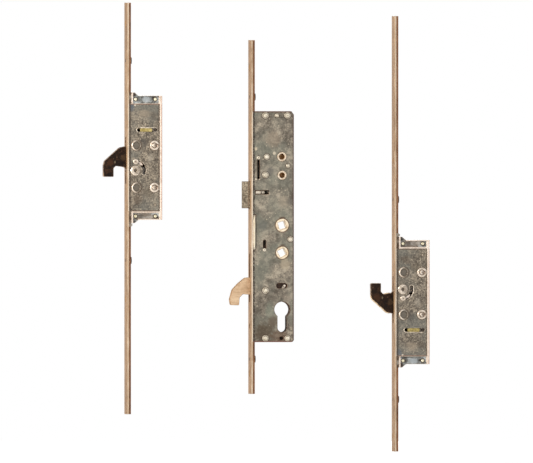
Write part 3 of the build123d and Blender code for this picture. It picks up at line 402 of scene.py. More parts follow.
class Paint:
    """Every finish of the lock, built once."""

    # Zinc plated cold rolled sheet, dulled and handled: soft clouds, grey green over warm grey.
    PLATE = Finish(
        "zinc_plated_rolled_sheet", "#7F776A", "#564F45", "#AEA492", 0.4, 0.5,
        grain_mm=1.4, blotch_mm=4.5, cloud_mm=19.0, clouds=1.0, blotches=0.75, speckle=0.85,
        pit_mm=3.4, pit="#BDB29D", drift="#74776B", bump_mm=0.03,
        patches=(
            Patch(3.0, 49.5, 7.0, "#B3A68F", 0.6, tall=1.2),
            Patch(-13.0, 151.0, 6.0, "#575653", 0.6),
            Patch(-20.0, -25.0, 13.0, "#45341F", 0.7),
            Patch(-3.0, -29.0, 12.0, "#5C4431", 0.65, tall=0.8),
            Patch(-10.0, -13.0, 8.0, "#5A4837", 0.6),
            Patch(-11.0, 186.0, 11.0, "#9A8A77", 0.45),
            Patch(-21.0, 92.0, 7.0, "#5F605B", 0.5),
            Patch(2.0, 118.0, 8.0, "#9D9280", 0.5),
            Patch(8.5, 118.0, 4.5, "#5F5D58", 0.45),
            Patch(-9.0, 8.0, 9.0, "#736C60", 0.4),
            Patch(-14.0, 0.0, 6.0, "#7C8374", 0.5, tall=1.7),
            Patch(5.0, 12.0, 6.0, "#94887A", 0.5),
            # The next two flattened dark patches, just above the two hubs, are painted shadow.
            Patch(0.0, 100.4, 4.2, "#4A3424", 0.75, tall=0.35),
            Patch(0.6, 70.4, 3.4, "#4F3C2C", 0.6, tall=0.4),
            Patch(-29.0, 175.6, 2.2, "#CFC2A8", 0.9, 0.25),
            Patch(-12.5, 33.0, 3.2, "#554B40", 0.6, tall=0.25),
            Patch(6.2, 157.6, 4.4, height=0.18),
            Patch(-8.6, 170.6, 2.2, "#CFC4AE", 0.8, 0.12),
            Patch(-29.0, 142.3, 1.6, "#D6CBB6", 0.9, 0.1, tall=0.7),
            Patch(-25.2, 142.4, 1.2, "#D6CBB6", 0.9, 0.1),
        ),
        seams=(
            # Dark dotted line along the strip's back edge: painted shadow of the strip and of the gap beside
            # it.
            Seam("X", -31.3, 1.2, "#2E1A0E", 0.9, dot=2.6),
            Seam("X", 12.3, 1.0, "#46291A", 0.9),
            Seam("Z", 215.8, 0.9, "#5A3C2B", 0.85),
            Seam("Z", -34.9, 0.9, "#6E4737", 0.9),
        ))
    # Sheared edge of the plated sheet: bare and browned, so it draws a dark line round the case.
    PLATE_EDGE = Finish(
        "sheared_sheet_edge", "#664836", "#452E20", "#84664F", 0.2, 0.6, specular=0.3,
        grain_mm=1.2, cloud_mm=9.0, speckle=0.8, bump_mm=0.02)
    # Plated sheet of the hook units, tumbled: a fine even speckle with small bright pits.
    COVER = Finish(
        "zinc_plated_tumbled_sheet", "#766D60", "#473F36", "#A99D8A", 0.4, 0.48,
        grain_mm=1.5, blotch_mm=3.0, cloud_mm=12.0, clouds=0.5, blotches=0.7, speckle=1.4,
        pit_mm=2.6, pit="#C9BDA8", drift="#6F7069", bump_mm=0.035)
    # The lower hook's back: pale cream painted highlight, on that unit alone.
    HOOK_BRIGHT = Finish(
        "polished_hook_back", "#D9C29F", "#A98A66", "#F1E2C8", 0.4, 0.38,
        grain_mm=2.0, cloud_mm=5.0, clouds=0.8, bump_mm=0.01)
    # Key follower: bright pressed steel.
    FOLLOWER = Finish(
        "pressed_key_follower", "#BDB3A2", "#83796A", "#DDD5C6", 0.3, 0.45,
        grain_mm=1.2, cloud_mm=5.0, bump_mm=0.02)
    # The same sheet's pressed edges and lips, painted pale: rubbed wear and painted highlight.
    BRIGHT_EDGE = Finish(
        "zinc_rubbed_edge", "#CBBEAB", "#8F7F6C", "#F0E6D7", 0.6, 0.34,
        grain_mm=1.5, cloud_mm=7.0, speckle=0.6, bump_mm=0.01)
    # Pressure cast zinc with a bright skin: nearly white, partly as painted reflection for its rounded rims,
    # with a faint pink warmth.
    ZINC = Finish(
        "cast_zinc_bright_skin", "#EBDCCD", "#C9B3A1", "#FAF0E5", 0.35, 0.38,
        grain_mm=2.2, cloud_mm=12.0, clouds=0.6, blotches=0.4, speckle=0.5, bump_mm=0.02)
    # The shelf of the cast bracket: blue grey, painted darker than the tray as shade in the recess, and dark
    # in its corners.
    SHELF = Finish(
        "cast_zinc_blue_grey_shelf", "#7A7C79", "#39342E", "#B4B9B9", 0.5, 0.42,
        grain=Grain.DRAWN_ACROSS, grain_mm=2.0, blotch_mm=3.0, cloud_mm=7.0, clouds=1.2,
        blotches=0.8, speckle=0.9, bump_mm=0.03)
    # Brass plated steel strip, rolled: long faint streaks, tan in front.
    STRIP = Finish(
        "brass_plated_rolled_strip", "#A07E59", "#805F3D", "#BE9B77", 0.15, 0.5, specular=0.2,
        grain=Grain.ROLLED, grain_mm=1.4, cloud_mm=26.0, clouds=0.5, speckle=0.7, bump_mm=0.012)
    # The strip's slit edge: a lighter copy of its brass, painted light for the edge that catches the light.
    STRIP_EDGE = Finish(
        "brass_plated_slit_edge", "#C3AE95", "#A68B6E", "#D9C8B3", 0.35, 0.45, specular=0.4,
        grain=Grain.ROLLED, grain_mm=1.6, cloud_mm=20.0, clouds=0.5, speckle=0.6, bump_mm=0.012)
    # Its corners, painted darker brown as shade on the broken edges.
    STRIP_CORNER = Finish(
        "brass_worn_thin_corner", "#A68767", "#7C5C3E", "#C4A582", 0.2, 0.5, specular=0.3,
        grain=Grain.ROLLED, grain_mm=1.6, cloud_mm=14.0, clouds=0.8, bump_mm=0.01)
    # Oiled steel drive rail: brown film with drag streaks.
    RAIL = Finish(
        "oiled_brown_steel_rail", "#A8734E", "#7C5132", "#C0946F", 0.2, 0.5, specular=0.3,
        grain=Grain.ROLLED, grain_mm=1.3, cloud_mm=18.0, clouds=0.7, speckle=0.8, bump_mm=0.015)
    # Walls of the punched slots: dark brown painted shade for the inside of the slots.
    SLOT_WALL = Finish(
        "oily_punched_slot_wall", "#4F3320", "#331E10", "#6D4C33", 0.0, 0.65, specular=0.2,
        grain_mm=1.2, cloud_mm=8.0, bump_mm=0.02)
    # Phosphated forged hook: near black brown with red brown rubs.
    HOOK_DARK = Finish(
        "phosphated_forged_steel", "#21140B", "#100805", "#3F2A1C", 0.12, 0.6, specular=0.15,
        grain_mm=1.3, cloud_mm=8.0, clouds=0.9, blotches=0.6, speckle=0.9, pit_mm=4.2,
        pit="#6B5644", bump_mm=0.04)
    # Its trimmed edge, worn to pale metal where it strikes the keep.
    HOOK_EDGE = Finish(
        "worn_hook_edge", "#7C6048", "#3E291B", "#BBA387", 0.4, 0.42,
        grain_mm=2.0, cloud_mm=5.0, clouds=1.2, bump_mm=0.015)
    # Brass dipped sintered hook: even peach tan with faint slanting drag marks.
    HOOK_TAN = Finish(
        "brass_dipped_sintered_steel", "#C9AB8A", "#A98A68", "#DFC5A4", 0.25, 0.5, specular=0.4,
        grain=Grain.DRAWN_ACROSS, grain_mm=1.1, cloud_mm=9.0, clouds=0.5, speckle=0.8, bump_mm=0.02)
    # Its edge, where the dip has run off thin and brown.
    HOOK_TAN_EDGE = Finish(
        "brass_dipped_edge", "#A07A52", "#77552F", "#C39F74", 0.3, 0.5, specular=0.3,
        grain_mm=1.6, cloud_mm=8.0, bump_mm=0.01)
    # Sintered latch bolt: coarse open grain, light and dark.
    LATCH = Finish(
        "sintered_steel_latch", "#7A6F5E", "#463C31", "#AFA48F", 0.35, 0.55, specular=0.35,
        grain_mm=1.0, blotch_mm=2.4, cloud_mm=7.0, clouds=0.4, blotches=0.9, speckle=1.4,
        pit_mm=2.0, pit="#453A2D", bump_mm=0.06)
    # Its edge, darker than its face all round.
    LATCH_EDGE = Finish(
        "sintered_latch_edge", "#5F4836", "#3C2A1C", "#85705A", 0.25, 0.55, specular=0.3,
        grain_mm=1.0, cloud_mm=6.0, bump_mm=0.03)
    # Nickel washed hubs: warm cream and smooth, with faint turning marks.
    HUB = Finish(
        "cream_nickel_washed_hub", "#EEDFC4", "#CDB48E", "#FBF1DD", 0.35, 0.4,
        grain_mm=1.2, cloud_mm=6.0, clouds=0.6, blotches=0.5, speckle=0.5, bump_mm=0.012)
    # Broken corners of the hubs and their square holes, painted brown as shade.
    HUB_EDGE = Finish(
        "hub_bore_edge", "#94714B", "#684A2E", "#C5A67C", 0.4, 0.42,
        grain_mm=1.4, cloud_mm=5.0, bump_mm=0.01)
    # Orbital formed rivet heads: silver cream, with grime and painted shade in the tool's ring.
    RIVET = Finish(
        "orbital_formed_rivet", "#DCD3BE", "#A89C86", "#F7F0E0", 0.45, 0.34,
        grain_mm=0.9, blotch_mm=2.0, cloud_mm=4.0, clouds=0.6, speckle=0.5, groove="#5A4B3B", bump_mm=0.015)
    # Cup rivets, bosses and pivots of the hook units: bright flanks, brown grime and painted shade in their
    # grooves.
    CUP = Finish(
        "bright_cup_rivet", "#D9CCBB", "#A4937F", "#FBF3E8", 0.5, 0.3,
        grain_mm=1.4, blotch_mm=2.4, cloud_mm=4.0, clouds=0.6, speckle=0.4, groove="#5B4433", bump_mm=0.01)
    # Small bracket rivets with a pale yellow film.
    YELLOW_RIVET = Finish(
        "yellow_passivated_rivet", "#E6E1C2", "#B8AD86", "#FAF7E4", 0.3, 0.4,
        grain_mm=1.0, cloud_mm=2.4, speckle=0.5, groove="#6A5A40", bump_mm=0.01)
    # Turned screw bush: cream flange, brown deeper in its bore as oil film and painted shade.
    BUSH = Finish(
        "turned_screw_bush", "#DCCBB3", "#B49C7F", "#F1E6D5", 0.3, 0.4,
        grain_mm=1.2, cloud_mm=4.0, clouds=0.6, speckle=0.4, bump_mm=0.01, deep=(-7.7, -7.0, "#C29A66"))
    # Brass shoe: dull yellow with wiping marks along its travel.
    BRASS = Finish(
        "sand_cast_brass_shoe", "#A69556", "#6F6030", "#CBBB80", 0.4, 0.5,
        grain=Grain.DRAWN_ACROSS, grain_mm=0.9, blotch_mm=2.0, cloud_mm=3.0, clouds=0.8,
        speckle=1.0, bump_mm=0.03)
    # Cream bar of the guide block, moulded and smooth.
    CREAM = Finish(
        "moulded_cream_guide", "#F6EBD2", "#E0CDA8", "#FFF9EC", 0.0, 0.45,
        grain_mm=2.4, cloud_mm=10.0, clouds=0.4, speckle=0.3, bump_mm=0.008)
    # Near feet of the hook units: browned by the rail, grey at their tips.
    FOOT = Finish(
        "cast_zinc_foot", "#6F5A48", "#4A3526", "#9A8B7A", 0.3, 0.5, specular=0.3,
        grain_mm=1.4, cloud_mm=6.0, bump_mm=0.02)
    # Greased steel inside the case: dark brown and dull.
    INNER = Finish(
        "greased_inner_steel", "#33241A", "#1B110A", "#4E3A2B", 0.2, 0.6, specular=0.25,
        grain_mm=1.4, cloud_mm=9.0, bump_mm=0.02)
    # Latch spring: bright drawn wire.
    SPRING = Finish(
        "drawn_spring_wire", "#8C8578", "#5E564A", "#B9B1A2", 0.7, 0.35,
        grain_mm=0.8, cloud_mm=5.0, bump_mm=0.01)

    def __init__(self) -> None:
        """Start with no material built."""
        self.built: dict[Finish, bpy.types.Material] = {}

    def get(self, finish: Finish) -> bpy.types.Material:
        """Look up the material of a finish, and build it the first time.

        Args:
            finish: The finish.

        Returns:
            Its material.
        """
        if finish not in self.built:
            self.built[finish] = finish.build()
        return self.built[finish]


PAINT = Paint()


def link(name: str, mesh: bpy.types.Mesh) -> bpy.types.Object:
    """Put a mesh in the scene as an object at the origin.

    Args:
        name: Name of the object.
        mesh: The mesh.

    Returns:
        The object.
    """
    piece = bpy.data.objects.new(name, mesh)
    bpy.context.scene.collection.objects.link(piece)
    return piece


def settle(piece: bpy.types.Object, body: str, nodes: Sequence[str] = ()) -> bpy.types.Object:
    """Let a piece ride on its body and hide what it stands for.

    Args:
        piece: The finished object.
        body: Body that carries it.
        nodes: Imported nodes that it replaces.

    Returns:
        The same object.
    """
    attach(piece, body)
    if nodes:
        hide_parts(*nodes)
    LOG.info("%s rides on %s", piece.name, body)
    return piece


def merged(node: str, clear: bool = True) -> bmesh.types.BMesh:
    """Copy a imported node, weld its loose triangles and clear the lines across its flat faces.

    Args:
        node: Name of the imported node.
        clear: Whether the lines across flat faces go.

    Returns:
        The copy, to be freed by the caller.
    """
    shape = bmesh.new()
    shape.from_mesh(frame["nodes"][node].data)
    bmesh.ops.remove_doubles(shape, verts=shape.verts, dist=WELD_PACKED)
    if clear:
        bmesh.ops.dissolve_limit(shape, angle_limit=FLAT_UNDER, verts=shape.verts, edges=shape.edges,
                                 use_dissolve_boundaries=False)
    return shape


@dataclass(frozen=True)
class Zone:
    """Faces of a piece that take another finish, by where they lie and how they face."""

    finish: Finish
    x: Point = EVERYWHERE
    y: Point = EVERYWHERE
    z: Point = EVERYWHERE
    facing_x: Point = EVERYWHERE
    facing_y: Point = EVERYWHERE

    def holds(self, face: bmesh.types.BMFace) -> bool:
        """Tell whether a face lies in the zone.

        Args:
            face: The face, with its normal up to date.

        Returns:
            True inside every one of its ranges.
        """
        spot = face.calc_center_median() / MM
        tests = ((spot.x, self.x), (spot.y, self.y), (spot.z, self.z),
                 (face.normal.x, self.facing_x), (face.normal.y, self.facing_y))
        return all(low <= value <= high for value, (low, high) in tests)


def dress(node: str, finish: Finish, edge: Finish, bevel_mm: float = 0.2,
          zones: Sequence[Zone] = (), clear: bool = True) -> bpy.types.Object:
    """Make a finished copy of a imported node, with its corners broken and its edges worn.

    Args:
        node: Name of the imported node.
        finish: Finish of its faces.
        edge: Finish of the broken corners.
        bevel_mm: Width of the broken corners.
        zones: Faces that take another finish, the last one winning.
        clear: Whether the lines across flat faces go first.

    Returns:
        The new object, which replaces the node.
    """
    shape = merged(node, clear)
    shape.normal_update()
    for face in shape.faces:
        face.smooth = True
        for k, zone in enumerate(zones):
            if zone.holds(face):
                face.material_index = k + 2
    mesh = bpy.data.meshes.new(node + "_finished")
    shape.to_mesh(mesh)
    shape.free()
    for look in (finish, edge, *(zone.finish for zone in zones)):
        mesh.materials.append(PAINT.get(look))
    piece = link(node + "_finished", mesh)
    corners = piece.modifiers.new("broken_corners", "BEVEL")
    corners.width = bevel_mm * MM
    corners.segments = 2
    corners.limit_method = "ANGLE"
    corners.angle_limit = BROKEN_FROM
    corners.use_clamp_overlap = False
    corners.material = 1
    even = piece.modifiers.new("flat_faces_stay_flat", "WEIGHTED_NORMAL")
    even.weight = 90
    return settle(piece, frame["nodes"][node]["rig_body"], [node])


def coat(node: str, finish: Finish) -> None:
    """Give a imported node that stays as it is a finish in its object's slots.

    Args:
        node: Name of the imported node.
        finish: Its finish.
    """
    piece = frame["nodes"][node]
    if not piece.material_slots:
        piece.data.materials.append(None)
    for place in piece.material_slots:
        place.link = "OBJECT"
        place.material = PAINT.get(finish)
    LOG.info("%s stays as packed", node)


def solids(node: str) -> list[tuple[Vector, Vector]]:
    """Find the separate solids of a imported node.

    Args:
        node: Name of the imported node.

    Returns:
        Lowest and highest corner of each solid, in metres, from the bottom up.
    """
    shape = merged(node)
    seen: set[int] = set()
    found = []
    for start in shape.verts:
        if start.index in seen:
            continue
        group, queue = [], [start]
        seen.add(start.index)
        while queue:
            vert = queue.pop()
            group.append(vert.co.copy())
            for edge in vert.link_edges:
                other = edge.other_vert(vert)
                if other.index not in seen:
                    seen.add(other.index)
                    queue.append(other)
        low = Vector(min(c[k] for c in group) for k in range(3))
        high = Vector(max(c[k] for c in group) for k in range(3))
        found.append((low, high))
    shape.free()
    return sorted(found, key=lambda pair: (round(pair[0].z, 5), round(pair[0].x, 5)))


def head_places(node: str) -> list[Place]:
    """Read x, z and head radius of each solid of a node, in millimetres."""
    return [((low.x + high.x) / 2 / MM, (low.z + high.z) / 2 / MM, (high.x - low.x) / 2 / MM)
            for low, high in solids(node)]


def arc(x: float, z: float, radius: float, start: float, end: float, steps: int) -> list[Point]:
    """Points along a circle from one angle to another, in degrees."""
    turns = [math.radians(start + (end - start) * k / steps) for k in range(steps + 1)]
    return [(x + radius * math.cos(turn), z + radius * math.sin(turn)) for turn in turns]


def straight(start: Point, end: Point, steps: int) -> list[Point]:
    """Points along a straight line, both its ends included."""
    return [(start[0] + (end[0] - start[0]) * k / steps, start[1] + (end[1] - start[1]) * k / steps)
            for k in range(steps + 1)]


@dataclass(frozen=True)
class Lip:
    """Pressed or burred bead along an opening, tapered at its ends, in millimetres."""

    name: str
    path: tuple[Point, ...]
    y: float
    width: float
    proud: float
    finish: Finish
    sides: int = 10
    taper: int = 4

    def ring(self, k: int) -> list[Vector]:
        """Work out the section of the bead at one point of its path.

        Args:
            k: Number of the point.

        Returns:
            The section's points, in metres.
        """
        last = len(self.path) - 1
        x, z = self.path[k]
        before, after = self.path[max(k - 1, 0)], self.path[min(k + 1, last)]
        run = Vector((after[0] - before[0], 0, after[1] - before[1])).normalized()
        out = Vector((run.z, 0, -run.x))
        size = min(1.0, (k + 0.6) / self.taper, (last - k + 0.6) / self.taper)
        spots = []
        for step in range(self.sides):
            turn = 2 * math.pi * step / self.sides
            spot = Vector((x, self.y, z)) + out * self.width * size * math.cos(turn)
            spot.y += self.proud * size * math.sin(turn)
            spots.append(spot * MM)
        return spots

    def build(self) -> bpy.types.Object:
        """Skin the sections into a closed bead.

        Returns:
            The object.
        """
        shape = bmesh.new()
        rows = [[shape.verts.new(spot) for spot in self.ring(k)] for k in range(len(self.path))]
        for one, two in zip(rows, rows[1:]):
            for k in range(self.sides):
                turn = (k + 1) % self.sides
                shape.faces.new((one[k], one[turn], two[turn], two[k]))
        shape.faces.new(rows[0])
        shape.faces.new(list(reversed(rows[-1])))
        bmesh.ops.recalc_face_normals(shape, faces=shape.faces)
        for face in shape.faces:
            face.smooth = True
        mesh = bpy.data.meshes.new(self.name)
        shape.to_mesh(mesh)
        shape.free()
        mesh.materials.append(PAINT.get(self.finish))
        return link(self.name, mesh)


@dataclass(frozen=True)
class Profile:
    """Half section of a turned head, from the middle of its near end outwards.

    Each row holds the share of the head's radius, the depth under its top in millimetres and the share of
    grime and painted shade that the surface takes there.
    """

    rows: tuple[Place, ...]

    def with_shank(self, share: float, length: float, far_head: float = 0.0) -> "Profile":
        """Add a shank and a far head under the near head.

        Args:
            share: Shank's radius as a share of the head's.
            length: Whole length in millimetres.
            far_head: Thickness of the far head, 0 for none.

        Returns:
            The closed profile.
        """
        more = [(share, self.rows[-1][1], 0.0), (share, length - far_head, 0.0)]
        if far_head:
            more += [(1.0, length - far_head, 0.0), (1.0, length, 0.0)]
        return Profile(self.rows + tuple(more) + ((0.0, length, 0.0),))


# Low rivet head: bright in the middle, with the forming tool's ring near its rim.
DOME = Profile((
    (0.0, 0.04, 0.0), (0.22, 0.0, 0.0), (0.46, 0.10, 0.0), (0.62, 0.26, 0.35), (0.72, 0.42, 0.9),
    (0.80, 0.40, 0.8), (0.87, 0.30, 0.1), (0.94, 0.36, 0.2), (1.0, 0.60, 0.6), (1.0, 0.80, 1.0)))
# Large cup rivet: wide flank, deep groove and a small dome in the middle.
CUPPED = Profile((
    (0.0, 0.22, 0.5), (0.12, 0.16, 0.2), (0.26, 0.04, 0.0), (0.38, 0.14, 0.1), (0.46, 0.50, 0.9),
    (0.54, 0.56, 1.0), (0.60, 0.34, 0.4), (0.66, 0.04, 0.0), (0.74, 0.0, 0.0), (0.86, 0.36, 0.0),
    (0.97, 0.92, 0.1), (1.0, 1.05, 1.0)))
# Pivot head: oil hole painted dark as shade, flat land and wide flank.
HOLED = Profile((
    (0.0, 2.6, 1.0), (0.27, 2.6, 1.0), (0.29, 0.5, 1.0), (0.33, 0.30, 0.6), (0.42, 0.22, 0.1),
    (0.62, 0.20, 0.0), (0.68, 0.04, 0.0), (0.76, 0.0, 0.0), (0.88, 0.28, 0.0), (1.0, 0.62, 0.3),
    (1.0, 0.80, 1.0)))
# Short button of the brackets.
BUTTON = Profile((
    (0.0, 0.05, 0.0), (0.3, 0.0, 0.0), (0.6, 0.06, 0.0), (0.85, 0.28, 0.2), (1.0, 0.6, 0.8),
    (1.0, 0.8, 1.0), (0.0, 0.8, 0.0)))
# Raised ring round a boss: wide outer flank and a steep inner wall, closed underneath.
RING = Profile((
    (0.62, 1.06, 0.9), (0.64, 0.60, 0.7), (0.69, 0.10, 0.0), (0.74, 0.0, 0.0), (0.80, 0.10, 0.0),
    (0.90, 0.42, 0.0), (0.98, 0.96, 0.1), (1.0, 1.06, 0.8), (1.0, 1.12, 1.0), (0.62, 1.12, 0.9),
    (0.62, 1.06, 0.9)))
# Guide pin's end with its turned centre.
PIN_END = Profile((
    (0.0, 0.30, 1.0), (0.18, 0.26, 0.8), (0.36, 0.10, 0.2), (0.56, 0.0, 0.0), (0.74, 0.05, 0.0),
    (0.90, 0.22, 0.3), (1.0, 0.44, 0.8), (1.0, 0.52, 1.0)))


def started(name: str, inputs: dict[str, str]) -> tuple[Tree, bpy.types.NodeOutputs]:
    """Start a geometry tree with a mesh in, a mesh out and named inputs.

    Args:
        name: Name of the tree.
        inputs: Socket type of each input, by its name.

    Returns:
        The tree, and the sockets that its inputs come in by.
    """
    group = bpy.data.node_groups.new(name, "GeometryNodeTree")
    face = group.interface
    face.new_socket("Geometry", in_out="INPUT", socket_type="NodeSocketGeometry")
    for label, kind in inputs.items():
        face.new_socket(label, in_out="INPUT", socket_type="NodeSocket" + kind)
    face.new_socket("Geometry", in_out="OUTPUT", socket_type="NodeSocketGeometry")
    return group, add(group, "NodeGroupInput").outputs


def ended(group: Tree, finish: Socket, placing: dict[str, Socket]) -> Tree:
    """End a geometry tree: place its instances, make them real, paint them and put them out.

    Args:
        group: The tree.
        finish: The material's socket.
        placing: Sockets of the points, the instance, and its scale and rotation.

    Returns:
        The same tree.
    """
    placed = add(group, "GeometryNodeInstanceOnPoints", placing)
    real = add(group, "GeometryNodeRealizeInstances", {"Geometry": placed.outputs["Instances"]})
    painted = add(group, "GeometryNodeSetMaterial", {
        "Geometry": real.outputs["Geometry"], "Material": finish})
    add(group, "NodeGroupOutput", {"Geometry": painted.outputs["Geometry"]})
    return group


@dataclass
class LathedHeads:
    """Row of turned or riveted heads made by one Geometry Nodes tree."""

    name: str
    profile: Profile
    finish: Finish
    sides: int = 40
    tilt: float = 0.012
    seed: int = 4
    rows: int = 33

    def tree(self) -> Tree:
        """Build the tree that turns the profile and sets one head on each point.

        Returns:
            The node group.
        """
        group, given = started(self.name + "_tree", {
            "Sides": "Int", "Length": "Float", "Tilt": "Float", "Seed": "Int", "Finish": "Material"})
        columns = add(group, "ShaderNodeMath", (given["Sides"], 1.0), operation="ADD").outputs[0]
        grid = add(group, "GeometryNodeMeshGrid", {
            "Size X": 1.0, "Size Y": 1.0, "Vertices X": columns, "Vertices Y": self.rows})
        position = add(group, "GeometryNodeInputPosition").outputs[0]
        spot = add(group, "ShaderNodeSeparateXYZ", {0: position}).outputs
        turn = add(group, "ShaderNodeMath", (spot["X"], 2 * math.pi), operation="MULTIPLY").outputs[0]
        along = add(group, "ShaderNodeMath", (spot["Y"], 0.5), operation="ADD").outputs[0]
        deepest = max(row[1] for row in self.profile.rows)
        radius = self.curve(group, along, [row[0] for row in self.profile.rows])
        depth = self.curve(group, along, [row[1] / deepest for row in self.profile.rows])
        # Grime and painted shade down the profile, kept as the groove attribute.
        grime = self.curve(group, along, [row[2] for row in self.profile.rows])
        held = add(group, "GeometryNodeStoreNamedAttribute", {
            "Geometry": grid.outputs["Mesh"], "Name": "groove", "Value": grime},
            data_type="FLOAT", domain="POINT")
        across, up = (add(group, "ShaderNodeMath", (turn,), operation=side).outputs[0]
                      for side in ("COSINE", "SINE"))
        place = add(group, "ShaderNodeCombineXYZ", tuple(
            add(group, "ShaderNodeMath", pair, operation="MULTIPLY").outputs[0]
            for pair in ((radius, across), (depth, given["Length"]), (radius, up))))
        turned = add(group, "GeometryNodeSetPosition", {
            "Geometry": held.outputs["Geometry"], "Position": place.outputs[0]})
        welded = add(group, "GeometryNodeMergeByDistance", {
            "Geometry": turned.outputs["Geometry"], "Distance": WELD_TURNED})
        size = add(group, "GeometryNodeInputNamedAttribute", {"Name": "head_r"}, data_type="FLOAT").outputs[0]
        least = add(group, "ShaderNodeMath", (given["Tilt"], -1.0), operation="MULTIPLY").outputs[0]
        wobble = add(group, "FunctionNodeRandomValue", {2: least, 3: given["Tilt"], "Seed": given["Seed"]},
                     data_type="FLOAT")
        return ended(group, given["Finish"], {
            "Points": given["Geometry"], "Instance": welded.outputs["Geometry"],
            "Scale": add(group, "ShaderNodeCombineXYZ", {"X": size, "Y": 1.0, "Z": size}).outputs[0],
            "Rotation": add(group, "ShaderNodeCombineXYZ", {"X": wobble.outputs[1]}).outputs[0]})

    def curve(self, group: Tree, along: Socket, values: Sequence[float]) -> Socket:
        """Read a row of values along the profile, held at the last one past its end.

        Args:
            group: Tree that gets the curve.
            along: Place along the profile, from 0 to 1.
            values: The row.

        Returns:
            The value's socket.
        """
        node = add(group, "ShaderNodeFloatCurve", {"Value": along})
        line = node.mapping.curves[0]
        while len(line.points) < self.rows:
            line.points.new(0.5, 0.5)
        for k in range(self.rows):
            line.points[k].location = (k / (self.rows - 1), values[min(k, len(values) - 1)])
            line.points[k].handle_type = "VECTOR"
        node.mapping.use_clip = False
        node.mapping.update()
        return node.outputs[0]

    def build(self, places: Sequence[Place], top: float) -> bpy.types.Object:
        """Set a head on each place.

        Args:
            places: x, z and head radius of each, in millimetres.
            top: y of the heads' tops, in millimetres.

        Returns:
            One object with a plain mesh.
        """
        marks = bpy.data.meshes.new(self.name + "_places")
        marks.from_pydata([(x * MM, top * MM, z * MM) for x, z, r in places], [], [])
        sizes = marks.attributes.new("head_r", "FLOAT", "POINT")
        for k, (x, z, r) in enumerate(places):
            sizes.data[k].value = r * MM
        return grown(self.name, marks, self.tree(), {
            "Sides": self.sides, "Length": max(row[1] for row in self.profile.rows) * MM,
            "Tilt": self.tilt, "Seed": self.seed, "Finish": PAINT.get(self.finish)})


def grown(name: str, marks: bpy.types.Mesh, group: Tree, inputs: dict) -> bpy.types.Object:
    """Run a node tree on a mesh of places and keep what it makes as a plain mesh.

    Args:
        name: Name of the result.
        marks: Mesh whose points the tree works on.
        group: The tree.
        inputs: Values of the tree's inputs by name.

    Returns:
        The new object, with its faces pointing out.
    """
    carrier = link(name + "_carrier", marks)
    work = carrier.modifiers.new("work", "NODES")
    work.node_group = group
    given = {item.name: item.identifier for item in group.interface.items_tree if item.in_out == "INPUT"}
    for label, value in inputs.items():
        work[given[label]] = value
    bpy.context.view_layer.update()
    ready = carrier.evaluated_get(bpy.context.evaluated_depsgraph_get())
    mesh = bpy.data.meshes.new_from_object(ready)
    bpy.data.objects.remove(carrier)
    shape = bmesh.new()
    shape.from_mesh(mesh)
    bmesh.ops.remove_doubles(shape, verts=shape.verts, dist=WELD_GROWN)
    bmesh.ops.recalc_face_normals(shape, faces=shape.faces)
    for face in shape.faces:
        face.smooth = True
    shape.to_mesh(mesh)
    shape.free()
    mesh.name = name
    mesh.set_sharp_from_angle(angle=SHARP_FROM)
    return link(name, mesh)


@dataclass
class Strip:
    """Faceplate strip and drive rails of one length, in millimetres."""

    strip: str
    rails: tuple[str, ...]
    beside: Point
    corner: float = 0.22
    slit_y: float = 9.0
    line: float = 0.42

    def build(self) -> None:
        """Dress the strip with its face, slit edges and slot walls, and the rails behind it."""
        low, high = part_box(self.strip)
        front, back = low.x / MM, high.x / MM
        # On the slit edges, a dark line along the front corner is painted shade; a near-white line runs along
        # the back corner beside the case.
        slit = replace(Paint.STRIP_EDGE, label=self.strip + "_slit_edge", seams=(
            Seam("X", front + 0.15, self.line, "#9A7A58", 0.8),
            Seam("X", back - 0.2, self.line * 1.3, "#FFF8E8", 0.9, span=self.beside)))
        zones = (
            # Slot walls take the dark painted shade.
            Zone(Paint.SLOT_WALL, y=(-self.slit_y, self.slit_y), z=(low.z / MM + 1, high.z / MM - 1),
                 facing_x=FACING_ALONG),
            # Faces of the slit edges take the lighter painted-light copy of the brass.
            Zone(slit, y=(EVERYWHERE[0], -self.slit_y), facing_y=FACING_NEAR),
            Zone(slit, y=(self.slit_y, EVERYWHERE[1]), facing_y=FACING_FAR),
        )
        dress(self.strip, Paint.STRIP, Paint.STRIP_CORNER, self.corner, zones)
        for rail in self.rails:
            dress(rail, Paint.RAIL, Paint.RAIL, self.corner)


